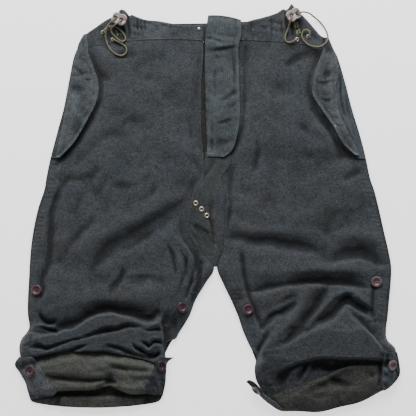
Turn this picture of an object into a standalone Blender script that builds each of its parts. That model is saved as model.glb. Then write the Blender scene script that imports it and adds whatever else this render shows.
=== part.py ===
"""Wool trousers laid flat on their back, with both legs rolled up and held by buttoned tabs.

The tables are in millimetres: x to the picture's right, y towards the waist, z up from the surface that the
trousers lie on. "Right" and "left" are the wearer's, so the right leg is at negative x. A cloth piece is an
open sheet that is worked out from a table of sections, and it is given its thickness upwards from its
underside.
"""

import math
from collections import namedtuple

import bmesh
import bpy
import numpy as np
from mathutils import Matrix, Vector
from mathutils.bvhtree import BVHTree

MM = 0.001
WOOL = 1.8  # thickness of the fulled wool
SMOOTH_CLOTH = 1.4  # thickness of the placket, flaps and tabs
THIN_CLOTH = 1.2  # thickness of the seam bands, pocket bags, belt loop and underlap
SEAM_GAP = 0.5  # between pieces that meet edge to edge
GUSSET_GAP = 1.3  # across the slanting seams of the gusset
LAYER_GAP = 0.35  # between a piece and what it lies on
BACK_Z = 0.0  # underside of the back panels
FRONT_RIM_Z = WOOL + 0.3  # underside of the fronts where they lie on the backs

EDGE_COLUMNS = (0.0, 5.0, 14.0, 26.0)  # columns near each side edge of a front, as distances from it
MIDDLE_COLUMNS = 16
TURNUP_EDGE_COLUMNS = (0.0, 6.0, 16.0)
TURNUP_MIDDLE_COLUMNS = 10
EDGE_EASE = 9.0  # folds fade out over this distance from a panel's side edges
FOLD_RUN_OUT = 0.12  # a fold runs on past each end of its line by this share of its length
FOLD_EASE = 0.3  # and rises to its full height over this share

BAND_COLUMNS = 4  # the seam bands cover the first columns of a front
OUTER_BAND_TOP = 92
OUTER_BAND_END = -200
INSEAM_BAND_TOP = -90
INSEAM_BAND_END = -205

LAY_SAMPLES = 7  # a laid piece is tested at this many steps along each triangle's side
LAY_PASSES = 3
LAY_DROOP = 0.3  # slope of a piece beyond the edge of what it lies on
LAY_LEAST_DROOP = 3.0

BUTTON_RADIUS = 9.3
BUTTON_HEIGHT = 3.2
STUD_RADIUS = 4.5
EYELET_RADIUS = 4.6
EYELET_HOLE = 2.2
EYELET_HEIGHT = 1.1
SEAT_RINGS = (0.35, 0.7, 1.0)  # a button's base is tested on what it lies on at these shares of its radius
SEAT_SPOKES = 16
CORD_DIAMETER = 2.6
CORD_STEP = 5.0
CORD_CLEARANCE = 0.35
LOCK_LENGTH = 28.0
LOCK_WIDTH = 24.0
LOCK_HEIGHT = 12.0
LOCK_ROUNDING = 2.6

# A cross-section of a front, from the outer (side) edge to the inner edge. bow lifts its middle towards the
# waist, level is the height of the cloth's underside away from the edges, reach how soon it gets there, steps
# the number of mesh rows down to the next section.
Section = namedtuple("Section", "name outer_x outer_y inner_x inner_y bow level outer_z inner_z reach steps")
# A fold is a soft ridge (height above zero) or trough along a line from start to end, bow to its left.
Fold = namedtuple("Fold", "name start_x start_y end_x end_y bow height left_width right_width")
# A row of a flat or overlaid piece, from its left end to its right end; bow lifts its middle towards the
# waist.
Row = namedtuple("Row", "left_x left_y right_x right_y bow")
# A station of a waistband: it runs from the seam up to top_y.
Station = namedtuple("Station", "x top_y level")
# A place where a button or an eyelet is fastened.
Place = namedtuple("Place", "name x y")
# A point of a cord's centre line.
Point = namedtuple("Point", "x y z")

RIGHT_FRONT = [
    Section("waist seam", -221.5, 270, -7, 284, 8, 6.5, 2.1, 6.0, 10, 1),
    Section("upper hip", -228, 252, -8, 252, 0, 7.0, 2.1, 5.5, 10, 2),
    Section("hip", -236, 211, -12, 211, 0, 7.5, 2.1, 5.5, 12, 2),
    Section("mid pocket", -244, 170, -12, 170, 0, 8.0, 2.1, 5.5, 12, 2),
    Section("low pocket", -255, 129, -12, 129, 0, 8.0, 2.1, 5.5, 12, 2),
    Section("fly end", -266, 87, -6, 82, 0, 8.0, 2.1, 6.0, 12, 2),
    Section("gusset top", -273, 54, -6, 53, 0, 8.5, 2.1, 6.5, 12, 1),
    Section("gusset", -277, 31, -20, 31, 0, 9.0, 2.1, 7.0, 12, 1),
    Section("thigh", -288, -3, -27, -3, 0, 9.5, 2.1, 7.5, 12, 2),
    Section("gusset widest", -296, -41, -31, -42, 0, 10.0, 2.1, 6.5, 12, 1),
    Section("above fork", -300, -71, -14, -71, 0, 10.5, 2.1, 4.5, 12, 1),
    Section("fork", -302, -100, 11, -100, 0, 11.0, 2.1, 2.1, 12, 2),
    Section("lower thigh", -303.5, -129, -4, -129, 4, 11.0, 2.1, 2.1, 12, 1),
    Section("knee", -305, -156, -20, -156, 10, 11.0, 2.1, 2.1, 12, 1),
    Section("above valley", -305, -180, -31, -184, 26, 10.0, 2.1, 2.1, 12, 2),
    Section("valley", -303, -204, -47, -213, 42, 6.0, 2.1, 2.1, 10, 4),
    Section("first roll", -315, -221, -59, -228, 34, 24.0, 5.0, 4.0, 12, 3),
    Section("roll middle", -319, -233, -69, -241, 28, 26.0, 6.0, 5.0, 12, 2),
    Section("second roll", -319, -243, -70.5, -252, 26, 27.0, 7.0, 6.0, 12, 2),
    Section("roll edge", -317, -253, -70.5, -262, 22, 24.0, 7.5, 7.0, 12, 1),
    Section("tucked end", -313.5, -259, -72, -268, 21, 19, 7.5, 7.0, 12, 0),
]

LEFT_FRONT = [
    Section("waist seam", 214, 270, 2.5, 284, 6, 6.5, 2.1, 6.0, 10, 1),
    Section("upper hip", 222.5, 252, 2.5, 252, 0, 7.0, 2.1, 5.5, 10, 2),
    Section("hip", 234.5, 211, 2.5, 211, 0, 7.5, 2.1, 5.5, 12, 2),
    Section("mid pocket", 245, 170, 2.5, 170, 0, 8.0, 2.1, 5.5, 12, 2),
    Section("low pocket", 257.5, 129, 3.5, 129, 0, 8.0, 2.1, 5.5, 12, 1),
    Section("fly curve", 265, 102, 19.5, 102, 0, 8.0, 2.1, 5.5, 12, 1),
    Section("fly end", 269.5, 82, 41, 82, 0, 8.0, 2.1, 6.0, 12, 1),
    Section("gusset top", 276, 51, 24, 51, 0, 8.5, 2.1, 6.5, 12, 1),
    Section("gusset", 284, 27, 30, 27, 0, 9.0, 2.1, 7.0, 12, 1),
    Section("thigh", 291.5, -3, 30, -3, 0, 9.5, 2.1, 7.5, 12, 2),
    Section("gusset widest", 300, -41, 28, -41, 0, 10.0, 2.1, 6.5, 12, 1),
    Section("above fork", 307, -71, 25.5, -71, 0, 10.5, 2.1, 4.5, 12, 1),
    Section("fork", 312, -100, 16, -100, 0, 11.5, 2.1, 2.1, 12, 2),
    Section("lower thigh", 311, -129, 27, -129, 0, 12.0, 2.1, 2.1, 12, 2),
    Section("knee", 308.5, -156, 40, -156, 0, 13.0, 2.1, 2.1, 12, 4),
    Section("below knee", 306, -184, 52, -184, 0, 15.0, 2.1, 2.1, 12, 3),
    Section("calf", 303.5, -206, 60, -208, 4, 18.0, 2.1, 2.1, 12, 3),
    Section("turned panel", 305, -223, 70.5, -235, 12, 23.0, 4.0, 3.0, 12, 2),
    Section("panel middle", 318, -237, 78, -258, 9, 27.0, 7.0, 4.0, 12, 2),
    Section("panel edge", 320, -249, 81, -281, 6, 25.0, 8.0, 6.0, 12, 1),
    Section("under the edge", 319, -255.5, 84, -289, 9, 12.0, 6.0, 4.0, 12, 1),
    Section("hollow", 318, -261, 89, -304, 9, 6.5, 3.4, 3.0, 12, 1),
    Section("lower layer", 317, -267, 99.6, -324.6, 6, 5.5, 2.6, 2.6, 12, 0),
]

RIGHT_FOLDS = [
    Fold("groin trough", -26, 24, -197, -85, 4, -5.0, 13, 20),
    Fold("groin ridge", -40, 44, -200, -52, 4, 2.5, 18, 16),
    Fold("pocket trough", -247, 85, -166, 141, 0, -2.5, 14, 14),
    Fold("knee crease", -164, -156, -140, -127, 0, -3.0, 9, 9),
    Fold("inner pleat", -21, -24, -47, -150, 0, -3.5, 9, 9),
    Fold("second pleat", -50, -37, -67, -139, 0, -2.5, 9, 9),
    Fold("seam trough upper", -244, 61, -270, -5, 0, -3.0, 8, 8),
    Fold("seam trough lower", -268, 5, -280, -126, 0, -3.0, 8, 8),
    Fold("waist gather one", -128, 280, -134, 236, 0, -2.0, 8, 8),
    Fold("waist gather two", -158, 276, -160, 244, 0, 1.5, 8, 8),
    Fold("hip swell", -60, 210, -190, 200, 0, 1.5, 40, 40),
    Fold("valley notch", -285, -186, -253, -212, 0, -5.0, 6, 6),
    Fold("notch ridge", -300, -206, -257, -215, 0, 3.5, 7, 6),
    Fold("roll crease left", -298, -235, -208, -222, -8, -8.0, 6, 6),
    Fold("roll crease right", -208, -222, -117, -197, 0, -6.0, 6, 6),
    Fold("lower crease", -270, -251, -165, -212, -3, -5.0, 6, 5),
    Fold("third ridge", -165, -215, -101, -247, 0, 3.0, 8, 8),
    Fold("pinch down", -126, -224, -112, -247, 0, -6.0, 5, 6),
    Fold("pinch across", -112, -247, -93, -245, 0, -5.0, 5, 5),
    Fold("pinch upper", -119, -224, -81, -227, 1, -5.0, 5, 5),
    Fold("pinch end", -97, -236, -76, -243, 0, -5.0, 5, 5),
    Fold("inner curl", -96, -198, -76, -192, 0, 5.0, 6, 6),
]

LEFT_FOLDS = [
    Fold("fly shade", 62, 272, 60, 84, 0, -2.0, 9, 9),
    Fold("waist dip", 134, 260, 171, 241, 0, -2.0, 10, 10),
    Fold("lower front fold", 86, 122, 98, 60, 0, -2.0, 9, 9),
    Fold("flap shadow", 203, 129, 240, 92, 0, -2.5, 9, 9),
    Fold("thigh trough", 38, -52, 203, -52, -6, -4.5, 14, 12),
    Fold("thigh trough end", 232, -75, 262, -64, 0, -3.5, 13, 12),
    Fold("thigh hollow", 176, -20, 196, -34, 0, -3.0, 14, 14),
    Fold("knee trough", 68, -139, 271, -130, 8, -8.0, 9, 12),
    Fold("knee ridge", 70, -118, 260, -110, 8, 3.5, 12, 12),
    Fold("inseam trough", 60, -117, 93, -203, -4, -7.0, 9, 9),
    Fold("short crease", 95, -201, 154, -164, 6, -8.0, 8, 8),
    Fold("crease ridge", 124, -213, 163, -154, -3, 4.0, 11, 11),
    Fold("deep diagonal", 159, -211, 183, -171, 0, -11.0, 9, 9),
    Fold("upper diagonal", 183, -171, 212, -128, 0, -8.0, 8, 9),
    Fold("lower crease", 115, -231, 159, -209, 1, -8.0, 7, 8),
    Fold("arch", 164, -202, 234, -156, -4, -7.0, 8, 8),
    Fold("arch ridge", 193, -169, 264, -152, 6, 4.0, 8, 8),
    Fold("arch hollow", 234, -156, 271, -176, 0, -11.0, 11, 10),
    Fold("panel side", 234, -175, 298, -233, 0, -8.0, 11, 6),
    Fold("seam line", 280, -140, 281, -176, 0, -5.0, 7, 7),
    Fold("outer seam trough", 262, 40, 286, -110, 0, -2.5, 8, 8),
    Fold("outer bump", 303, -228, 316, -250, 0, 3.0, 9, 9),
    Fold("lower layer pleat", 170, -262, 167, -286, 0, 4.0, 6, 6),
    Fold("lower layer hollow", 205, -268, 222, -282, 0, -2.5, 9, 9),
]

GUSSET_FOLDS = [
    Fold("hollow", -8, -46, 6, -72, 0, -3.0, 8, 8),
    Fold("edge ridge", 21, 50, 24, -60, 2, 1.5, 8, 8),
]

RIGHT_WAIST = [
    Station(-218.5, 281, 3.0),
    Station(-206.5, 295, 4.5),
    Station(-189.5, 306, 6.0),
    Station(-176, 313.5, 7.0),
    Station(-162, 319.5, 7.0),
    Station(-149, 324.5, 7.0),
    Station(-135, 329, 7.5),
    Station(-121.5, 325.5, 7.5),
    Station(-104.5, 319.5, 7.0),
    Station(-81, 317, 6.5),
    Station(-53.5, 312, 6.0),
    Station(-30, 309.5, 6.0),
    Station(-7, 312, 6.0),
]

LEFT_WAIST = [
    Station(3.5, 319.5, 5.5),
    Station(30, 319, 6.0),
    Station(55, 313.5, 6.0),
    Station(75.5, 319, 6.5),
    Station(96, 324, 7.0),
    Station(116.5, 330.5, 7.5),
    Station(133.5, 336, 7.5),
    Station(143, 346, 7.0),
    Station(150.5, 334, 7.0),
    Station(162, 326, 7.0),
    Station(172.5, 313.5, 7.0),
    Station(183, 301, 6.5),
    Station(193, 293, 5.0),
    Station(208, 287, 3.5),
]

# Vertical gathers of the two waistbands where the cords draw them up.
GATHER_PITCH = 9.0
GATHER_HEIGHT = 1.6
GATHERS = {"right_waistband": (-152, -100), "left_waistband": (98, 150)}

PLACKET = [
    Row(1, 327, 57, 319, 3),
    Row(-3, 296, 57, 296, 0),
    Row(-4.2, 272, 52.5, 272, 0),
    Row(-4.6, 235, 53.5, 235, 0),
    Row(-3.6, 190, 54.5, 190, 0),
    Row(-2.5, 150, 54.5, 150, 0),
    Row(-1.5, 122, 50, 122, 0),
    Row(-1, 105, 45, 105, 0),
    Row(-0.5, 95, 38, 94, 0),
    Row(0, 88, 28, 87, 0),
]

# The fly underlap shows as a strip beside the placket, a little lower than the front that it meets.
UNDERLAP_TOP = 268
UNDERLAP_END = 100
UNDERLAP_RIGHT_X = 1.2
UNDERLAP_Z = 4.6

RIGHT_BAG = [
    Row(-239, 190, -220, 190, 0),
    Row(-245, 163, -223.5, 163, 0),
    Row(-250.5, 143, -230.5, 143, 0),
    Row(-257.5, 116, -237, 116, 0),
    Row(-263, 95, -247.5, 95, 0),
    Row(-265.5, 85, -254, 85, 0),
]

LEFT_BAG = [
    Row(212, 246, 223.5, 246, 0),
    Row(210, 224, 229.5, 224, 0),
    Row(208, 197, 237, 197, 0),
    Row(211.5, 170, 244, 170, 0),
    Row(222, 143, 252, 143, 0),
    Row(239, 116, 260, 116, 0),
    Row(247.5, 95, 265.5, 95, 0),
    Row(256, 84, 268, 84, 0),
]

RIGHT_FLAP = [
    Row(-210, 291, -204.5, 293, 0),
    Row(-218, 277, -203, 277, 0),
    Row(-223, 262, -202, 262, 0),
    Row(-229.5, 240, -194, 240, 0),
    Row(-234, 216, -185.5, 216, 0),
    Row(-238, 197, -185, 197, 0),
    Row(-240, 175, -190.5, 175, 0),
    Row(-245, 150, -203.5, 150, 0),
    Row(-249, 129, -215, 129, 0),
    Row(-252.5, 109, -228, 109, 0),
    Row(-256, 92, -244, 92, 0),
    Row(-257, 86, -250, 86, 0),
]

LEFT_FLAP = [
    Row(200.5, 283, 207, 283, 0),
    Row(197, 272, 212, 272, 0),
    Row(191, 255, 220, 255, 0),
    Row(183, 233, 223, 233, 0),
    Row(178.5, 211, 218.5, 211, 0),
    Row(178, 194, 219, 194, 0),
    Row(187, 177, 220, 177, 0),
    Row(200, 158, 224.5, 158, 0),
    Row(213.5, 138, 234, 138, 0),
    Row(228, 112, 247.5, 112, 0),
    Row(244, 95, 255, 95, 0),
    Row(250.5, 90, 256, 90, 0),
]

BELT_LOOP = [
    Row(63, 313, 69, 314, 0),
    Row(63, 300, 69, 300, 0),
    Row(63, 287, 69, 287, 0),
]

# The turn-ups show the olive inside of the cloth. Columns as in Section.
RIGHT_TURNUP = [
    Section("under the roll", -309, -248.5, -82, -255, 21, 9.6, 2.2, 2.2, 12, 1),
    Section("upper edge", -307, -258, -79, -264.5, 20, 10.5, 2.2, 2.2, 12, 1),
    Section("crest", -313, -275, -74, -279, 14, 20.0, 2.2, 2.2, 12, 3),
    Section("crease", -308, -299, -74, -302, 8, 16.0, 2.2, 2.2, 12, 2),
    Section("lower swell", -302, -309, -78, -312, 6, 15.0, 2.2, 2.2, 12, 1),
    Section("lower edge", -297, -316, -84, -319, 8, 9.0, 2.2, 2.2, 12, 0),
]

LEFT_TURNUP = [
    Section("upper edge", 319, -262.5, 119, -318, 17, 10.5, 6.8, 6.8, 12, 2),
    Section("crest", 324, -279, 127, -331, -1, 15.0, 2.2, 2.2, 12, 3),
    Section("lower swell", 317, -295, 130, -338, -12, 12.0, 2.2, 2.2, 12, 1),
    Section("lower edge", 310, -304, 132, -342, -17, 6.0, 2.2, 2.2, 12, 0),
]

RIGHT_TURNUP_FOLDS = [
    Fold("long crease", -269, -290, -160, -293, 0, -5.0, 6, 5),
    Fold("inner crease", -158, -276, -101, -286, 2, -5.0, 6, 6),
    Fold("cross wrinkle", -160, -293, -153, -312, 0, -4.0, 6, 6),
]

LEFT_TURNUP_FOLDS = [
    Fold("slanting dip", 158, -314, 220, -299, 0, -3.0, 8, 8),
    Fold("outer swell", 232, -277, 281, -291, 0, 2.0, 10, 10),
]

RIGHT_TURNUP_BACK = [
    Row(-312, -256, -77, -262, 14),
    Row(-313, -280, -75, -282, 4),
    Row(-305, -306, -75, -306, 0),
    Row(-303, -320, -77, -320, 0),
    Row(-296, -330, -86, -330, -2),
    Row(-270, -335, -116, -335, -4),
]

LEFT_TURNUP_BACK = [
    Row(92, -276, 315, -245, 8),
    Row(90, -292, 320, -262, 4),
    Row(102, -312, 321, -280, 0),
    Row(116, -328, 309, -300, -8),
    Row(134, -338, 294, -312, -14),
]

RIGHT_BACK = [
    Row(-219, 269.5, -0.3, 282, 3),
    Row(-225.5, 252, -0.3, 252, 0),
    Row(-241.5, 170, -0.3, 170, 0),
    Row(-252.5, 129, -0.3, 129, 0),
    Row(-263.5, 87, -0.3, 87, 0),
    Row(-274.5, 31, -0.3, 31, 0),
    Row(-285.5, -3, 3, -3, 0),
    Row(-293.5, -41, 8, -41, 0),
    Row(-299.5, -96, 12, -96, 0),
    Row(-301, -129, -7, -129, 0),
    Row(-302.5, -180, -34, -184, 0),
    Row(-300.5, -204, -50, -213, 0),
    Row(-311, -221, -62, -228, 0),
    Row(-313, -244, -74, -251, 14),
]

LEFT_BACK = [
    Row(0.3, 282, 211.5, 269.5, 3),
    Row(0.3, 252, 220, 252, 0),
    Row(0.3, 170, 242.5, 170, 0),
    Row(0.3, 129, 255, 129, 0),
    Row(0.3, 82, 267, 82, 0),
    Row(0.3, 27, 281.5, 27, 0),
    Row(4.5, -3, 289, -3, 0),
    Row(10, -41, 297.5, -41, 0),
    Row(15, -96, 308.5, -96, 0),
    Row(29.5, -129, 308.5, -129, 0),
    Row(54.5, -184, 303.5, -184, 0),
    Row(63, -208, 301, -206, 0),
    Row(73, -235, 302, -223, 4),
    Row(84, -264, 309, -236, 7),
]

BACK_WAISTBAND = [
    Row(-164, 316, 158, 324, -6),
    Row(-204, 290, 196, 288, 5),
    Row(-216, 276, 208, 276, 11),
    Row(-218, 270.5, 210.5, 270.5, 12.3),
]

RIGHT_OUTER_TAB = [
    Row(-319, -252, -297, -251, 0),
    Row(-327.5, -266, -286, -263, 0),
    Row(-318, -281, -276, -280, 0),
    Row(-309, -297, -267, -297, 0),
    Row(-305, -312, -255, -311, 0),
    Row(-301, -325, -264, -320, 0),
]

RIGHT_INNER_TAB = [
    Row(-83, -252, -57, -254, 0),
    Row(-88, -260, -68, -263, 0),
    Row(-94, -277, -70, -280, 0),
    Row(-103, -296, -71.5, -299, 0),
    Row(-112, -314, -76, -319, 0),
]

LEFT_OUTER_TAB = [
    Row(300, -243, 321, -244, 0),
    Row(297.5, -258, 325, -260, 0),
    Row(296, -275, 327.2, -279, 0),
    Row(296, -292, 320, -294, 0),
    Row(296, -310, 303, -309, 0),
]

# The left inner tab stands on edge: its low edge is outside, its high edge leans on the cuff.
TabEdge = namedtuple("TabEdge", "low_x low_y low_z high_x high_y high_z")
LEFT_INNER_TAB = [
    TabEdge(65.5, -294, 10, 70, -291, 13),
    TabEdge(76, -304, 5, 82, -297, 14),
    TabEdge(90, -319, 3, 98, -316, 17),
    TabEdge(108, -334, 2.4, 115, -328, 16),
    TabEdge(124, -344, 2.4, 128, -341, 9),
]

# The rounded solids of the hidden turns inside the rolled legs: centre, half sizes, height, turn in degrees.
Core = namedtuple("Core", "name x y half_length half_width height turn")
CORES = [
    Core("right_roll_core", -193, -246, 104, 56, 6.4, -1.5),
    Core("left_roll_core", 200, -240, 84, 16, 9, 5),
]

BUTTONS = [
    Place("right_outer_button", -290, -139.5),
    Place("right_inner_button", -43, -168),
    Place("left_inner_button", 69, -172),
    Place("left_outer_button", 286.5, -125),
    Place("right_outer_tab_button", -300, -275.5),
    Place("right_inner_tab_button", -79, -267),
    Place("left_outer_tab_button", 312, -266),
]
LEFT_INNER_TAB_BUTTON = Place("left_inner_tab_button", 84, -308)
WAIST_STUD = Place("waist_stud", -14.5, 304)

WAIST_EYELETS = [
    Place("right_waist_eyelet_low", -160.5, 286),
    Place("right_waist_eyelet_high", -177.5, 298),
    Place("left_waist_eyelet_low", 152, 286),
    Place("left_waist_eyelet_high", 171, 291),
]
CROTCH_EYELETS = [
    Place("crotch_eyelet_one", -20, 8),
    Place("crotch_eyelet_two", -10, -2),
    Place("crotch_eyelet_three", -1, -13),
]

Lock = namedtuple("Lock", "name x y z turn")
LOCKS = [
    Lock("right_cord_lock", -149.5, 320, 10.0, -20),
    Lock("left_cord_lock", 146, 327, 10.0, 30),
]

# Centre lines of the two drawcords, from one waist eyelet through the lock to the other.
RIGHT_CORD = [
    Point(-160.5, 286, 11.5),
    Point(-156.5, 284.5, 13.2),
    Point(-151, 281.5, 12.5),
    Point(-144, 277.5, 11.5),
    Point(-137.5, 270.5, 11.2),
    Point(-139, 262.5, 11.2),
    Point(-150, 259.5, 11.2),
    Point(-162, 266, 11.4),
    Point(-170, 280, 11.8),
    Point(-172.5, 295.5, 15.0),
    Point(-168.5, 309, 20.5),
    Point(-161, 317, 24.5),
    Point(-156, 321, 20.5),
    Point(-151, 319.5, 16.2),
    Point(-146, 318, 20.5),
    Point(-149, 313.5, 25.0),
    Point(-157.5, 309, 21.0),
    Point(-163, 302, 16.5),
    Point(-155, 291.5, 13.5),
    Point(-147, 284, 13.2),
    Point(-141.5, 285, 12.2),
    Point(-144.5, 296, 11.6),
    Point(-151.5, 304.5, 11.4),
    Point(-159, 307.5, 11.4),
    Point(-167.5, 305.5, 11.6),
    Point(-174, 303, 13.2),
    Point(-177, 299.5, 13.6),
    Point(-177.5, 298, 11.0),
]

LEFT_CORD = [
    Point(152, 286, 11.5),
    Point(148, 284.5, 13.2),
    Point(140, 282, 12.0),
    Point(134, 284.5, 11.4),
    Point(133, 292, 11.4),
    Point(136.5, 303, 13.5),
    Point(140.5, 313, 20.0),
    Point(141.5, 321, 25.0),
    Point(142, 326, 20.5),
    Point(147, 327.5, 16.2),
    Point(152, 329, 20.5),
    Point(158, 331.5, 24.0),
    Point(168, 331, 17.0),
    Point(182, 323.5, 7.0),
    Point(194, 313.5, 1.8),
    Point(201.5, 302, 3.2),
    Point(204, 291, 9.5),
    Point(201, 281, 12.5),
    Point(188, 274, 12.0),
    Point(175.5, 275.5, 11.4),
    Point(165.5, 281, 11.6),
    Point(159.5, 289, 12.0),
    Point(161.5, 297.5, 11.6),
    Point(168, 299, 12.2),
    Point(171.5, 295, 12.6),
    Point(171, 291, 10.5),
]

# Profiles of the turned pieces, from the middle of the top down the outer side to the base: radius, height.
BUTTON_PROFILE = [
    (0, 1.7), (4.2, 1.7), (5.6, 2.9), (8.2, BUTTON_HEIGHT), (BUTTON_RADIUS, 1.6), (7.6, 0), (0, 0),
]
STUD_PROFILE = [(0, 2.0), (3.2, 1.8), (STUD_RADIUS, 0.8), (3.6, 0), (0, 0)]
EYELET_PROFILE = [(EYELET_HOLE, 0), (2.4, 0.9), (3.4, EYELET_HEIGHT), (EYELET_RADIUS, 0.3), (4.2, 0)]

COLOURS = {
    "wool": (0.048, 0.054, 0.058),
    "smooth": (0.075, 0.092, 0.099),
    "olive": (0.070, 0.075, 0.063),
    "gusset": (0.070, 0.078, 0.076),
    "underlap": (0.055, 0.050, 0.036),
    "button": (0.085, 0.028, 0.034),
    "metal": (0.62, 0.52, 0.32),
    "cord": (0.32, 0.29, 0.18),
    "lock": (0.38, 0.32, 0.30),
}
SHINY = {"button": 0.35, "metal": 0.3, "lock": 0.5}


def clear_scene():
    """Removes what the file starts with."""
    for old in list(bpy.data.objects):
        bpy.data.objects.remove(old, do_unlink=True)


def new_collection(name):
    collection = bpy.data.collections.new(name)
    bpy.context.scene.collection.children.link(collection)
    return collection


def give_material(thing, finish):
    """A material of the object's own, in the colour of its cloth, metal or horn."""
    material = bpy.data.materials.new(thing.name + "_" + finish)
    material.use_nodes = True
    shader = material.node_tree.nodes["Principled BSDF"]
    shader.inputs["Base Color"].default_value = (*COLOURS[finish], 1.0)
    shader.inputs["Roughness"].default_value = SHINY.get(finish, 0.95)
    shader.inputs["Metallic"].default_value = 1.0 if finish == "metal" else 0.0
    thing.data.materials.append(material)


def through(values, places):
    """A smooth curve through rows of values, one row a whole number, read at any places between them."""
    values = np.asarray(values, float)
    last = len(values) - 1
    places = np.clip(np.asarray(places, float), 0, last)
    start = np.minimum(places.astype(int), last - 1)
    t = (places - start)[:, None]
    p0 = values[np.maximum(start - 1, 0)]
    p1 = values[start]
    p2 = values[start + 1]
    p3 = values[np.minimum(start + 2, last)]
    slope_in = (p2 - p0) / 2
    slope_out = (p3 - p1) / 2
    rise = p2 - p1
    square = 3 * rise - 2 * slope_in - slope_out
    cube = slope_in + slope_out - 2 * rise
    return p1 + t * slope_in + t**2 * square + t**3 * cube


def fold_heights(x, y, folds):
    """The sum of the folds at each point: a bell across each fold's line, eased to nothing at both ends."""
    total = np.zeros_like(x)
    for fold in folds:
        run_x = fold.end_x - fold.start_x
        run_y = fold.end_y - fold.start_y
        length = math.hypot(run_x, run_y)
        along = ((x - fold.start_x) * run_x + (y - fold.start_y) * run_y) / length**2
        across = ((y - fold.start_y) * run_x - (x - fold.start_x) * run_y) / length
        inside = np.clip(along, 0, 1)
        across = across - fold.bow * 4 * inside * (1 - inside)
        width = np.where(across > 0, fold.left_width, fold.right_width)
        ends = np.clip(np.minimum(along + FOLD_RUN_OUT, 1 + FOLD_RUN_OUT - along) / FOLD_EASE, 0, 1)
        total = total + fold.height * ends**2 * (3 - 2 * ends) * np.exp(-((across / width) ** 2))
    return total


def section_places(sections):
    """Where the mesh rows lie among the sections."""
    places = [0.0]
    for index, section in enumerate(sections[:-1]):
        places += [index + (k + 1) / section.steps for k in range(section.steps)]
    return np.array(places)


def panel_points(sections, folds, edges, middle):
    """The underside of a panel as a grid of points, with its columns from the outer to the inner edge."""
    table = np.array([section[1:10] for section in sections], float)
    values = through(table, section_places(sections))
    outer_x, outer_y, inner_x, inner_y, bow, level, outer_z, inner_z, reach = values.T[:, :, None]
    width = np.abs(inner_x - outer_x)
    near = np.array(edges)[None, :] / width
    spread = near[:, -1:] + (1 - 2 * near[:, -1:]) * np.arange(1, middle)[None, :] / middle
    share = np.concatenate([near, spread, 1 - near[:, ::-1]], axis=1)
    x = outer_x + (inner_x - outer_x) * share
    y = outer_y + (inner_y - outer_y) * share + bow * 4 * share * (1 - share)
    from_outer = share * width
    from_inner = (1 - share) * width
    outer_fall = (level - outer_z) * np.exp(-from_outer / reach)
    inner_fall = (level - inner_z) * np.exp(-from_inner / reach)
    z = level - outer_fall - inner_fall
    fade = (1 - np.exp(-from_outer / EDGE_EASE)) * (1 - np.exp(-from_inner / EDGE_EASE))
    z = np.maximum(z + fade * fold_heights(x, y, folds), FRONT_RIM_Z)
    return np.stack([x, y, z], axis=2)


def row_points(rows, columns, spans):
    """A grid of points in the plane between the rows' ends, with spans mesh rows from one row to the next."""
    table = np.array(rows, float)
    places = np.linspace(0, len(rows) - 1, (len(rows) - 1) * spans + 1)
    left_x, left_y, right_x, right_y, bow = through(table, places).T[:, :, None]
    share = np.linspace(0, 1, columns + 1)[None, :]
    x = left_x + (right_x - left_x) * share
    y = left_y + (right_y - left_y) * share + bow * 4 * share * (1 - share)
    return np.stack([x, y, np.full_like(x, BACK_Z)], axis=2)


def add_sheet(name, points, finish, thickness, parts):
    """An open sheet through a grid of points, with its thickness added above by Solidify."""
    rows, columns, _ = points.shape
    index = np.arange(rows * columns).reshape(rows, columns)
    a, b = index[:-1, :-1].ravel(), index[:-1, 1:].ravel()
    c, d = index[1:, 1:].ravel(), index[1:, :-1].ravel()
    down = points[1, 0] - points[0, 0]
    across = points[0, 1] - points[0, 0]
    faces = np.concatenate([np.stack([a, d, c], axis=1), np.stack([a, c, b], axis=1)])
    if np.cross(down, across)[2] < 0:
        faces = faces[:, ::-1]
    mesh = bpy.data.meshes.new(name)
    mesh.from_pydata((points.reshape(-1, 3) * MM).tolist(), [], faces.tolist())
    mesh.shade_smooth()
    sheet = bpy.data.objects.new(name, mesh)
    parts.objects.link(sheet)
    wall = sheet.modifiers.new("cloth", "SOLIDIFY")
    wall.thickness = thickness * MM
    wall.offset = 1.0
    give_material(sheet, finish)
    return sheet


def surface_of(thing):
    bpy.context.view_layer.update()
    return BVHTree.FromObject(thing, bpy.context.evaluated_depsgraph_get())


def ground_height(surfaces, x, y):
    """The height in millimetres of the highest surface at a place, or None beside them all."""
    highest = None
    for surface in surfaces:
        hit = surface.ray_cast(Vector((x * MM, y * MM, 0.2)), Vector((0, 0, -1)))[0]
        if hit is not None and (highest is None or hit.z / MM > highest):
            highest = hit.z / MM
    return highest


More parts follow.
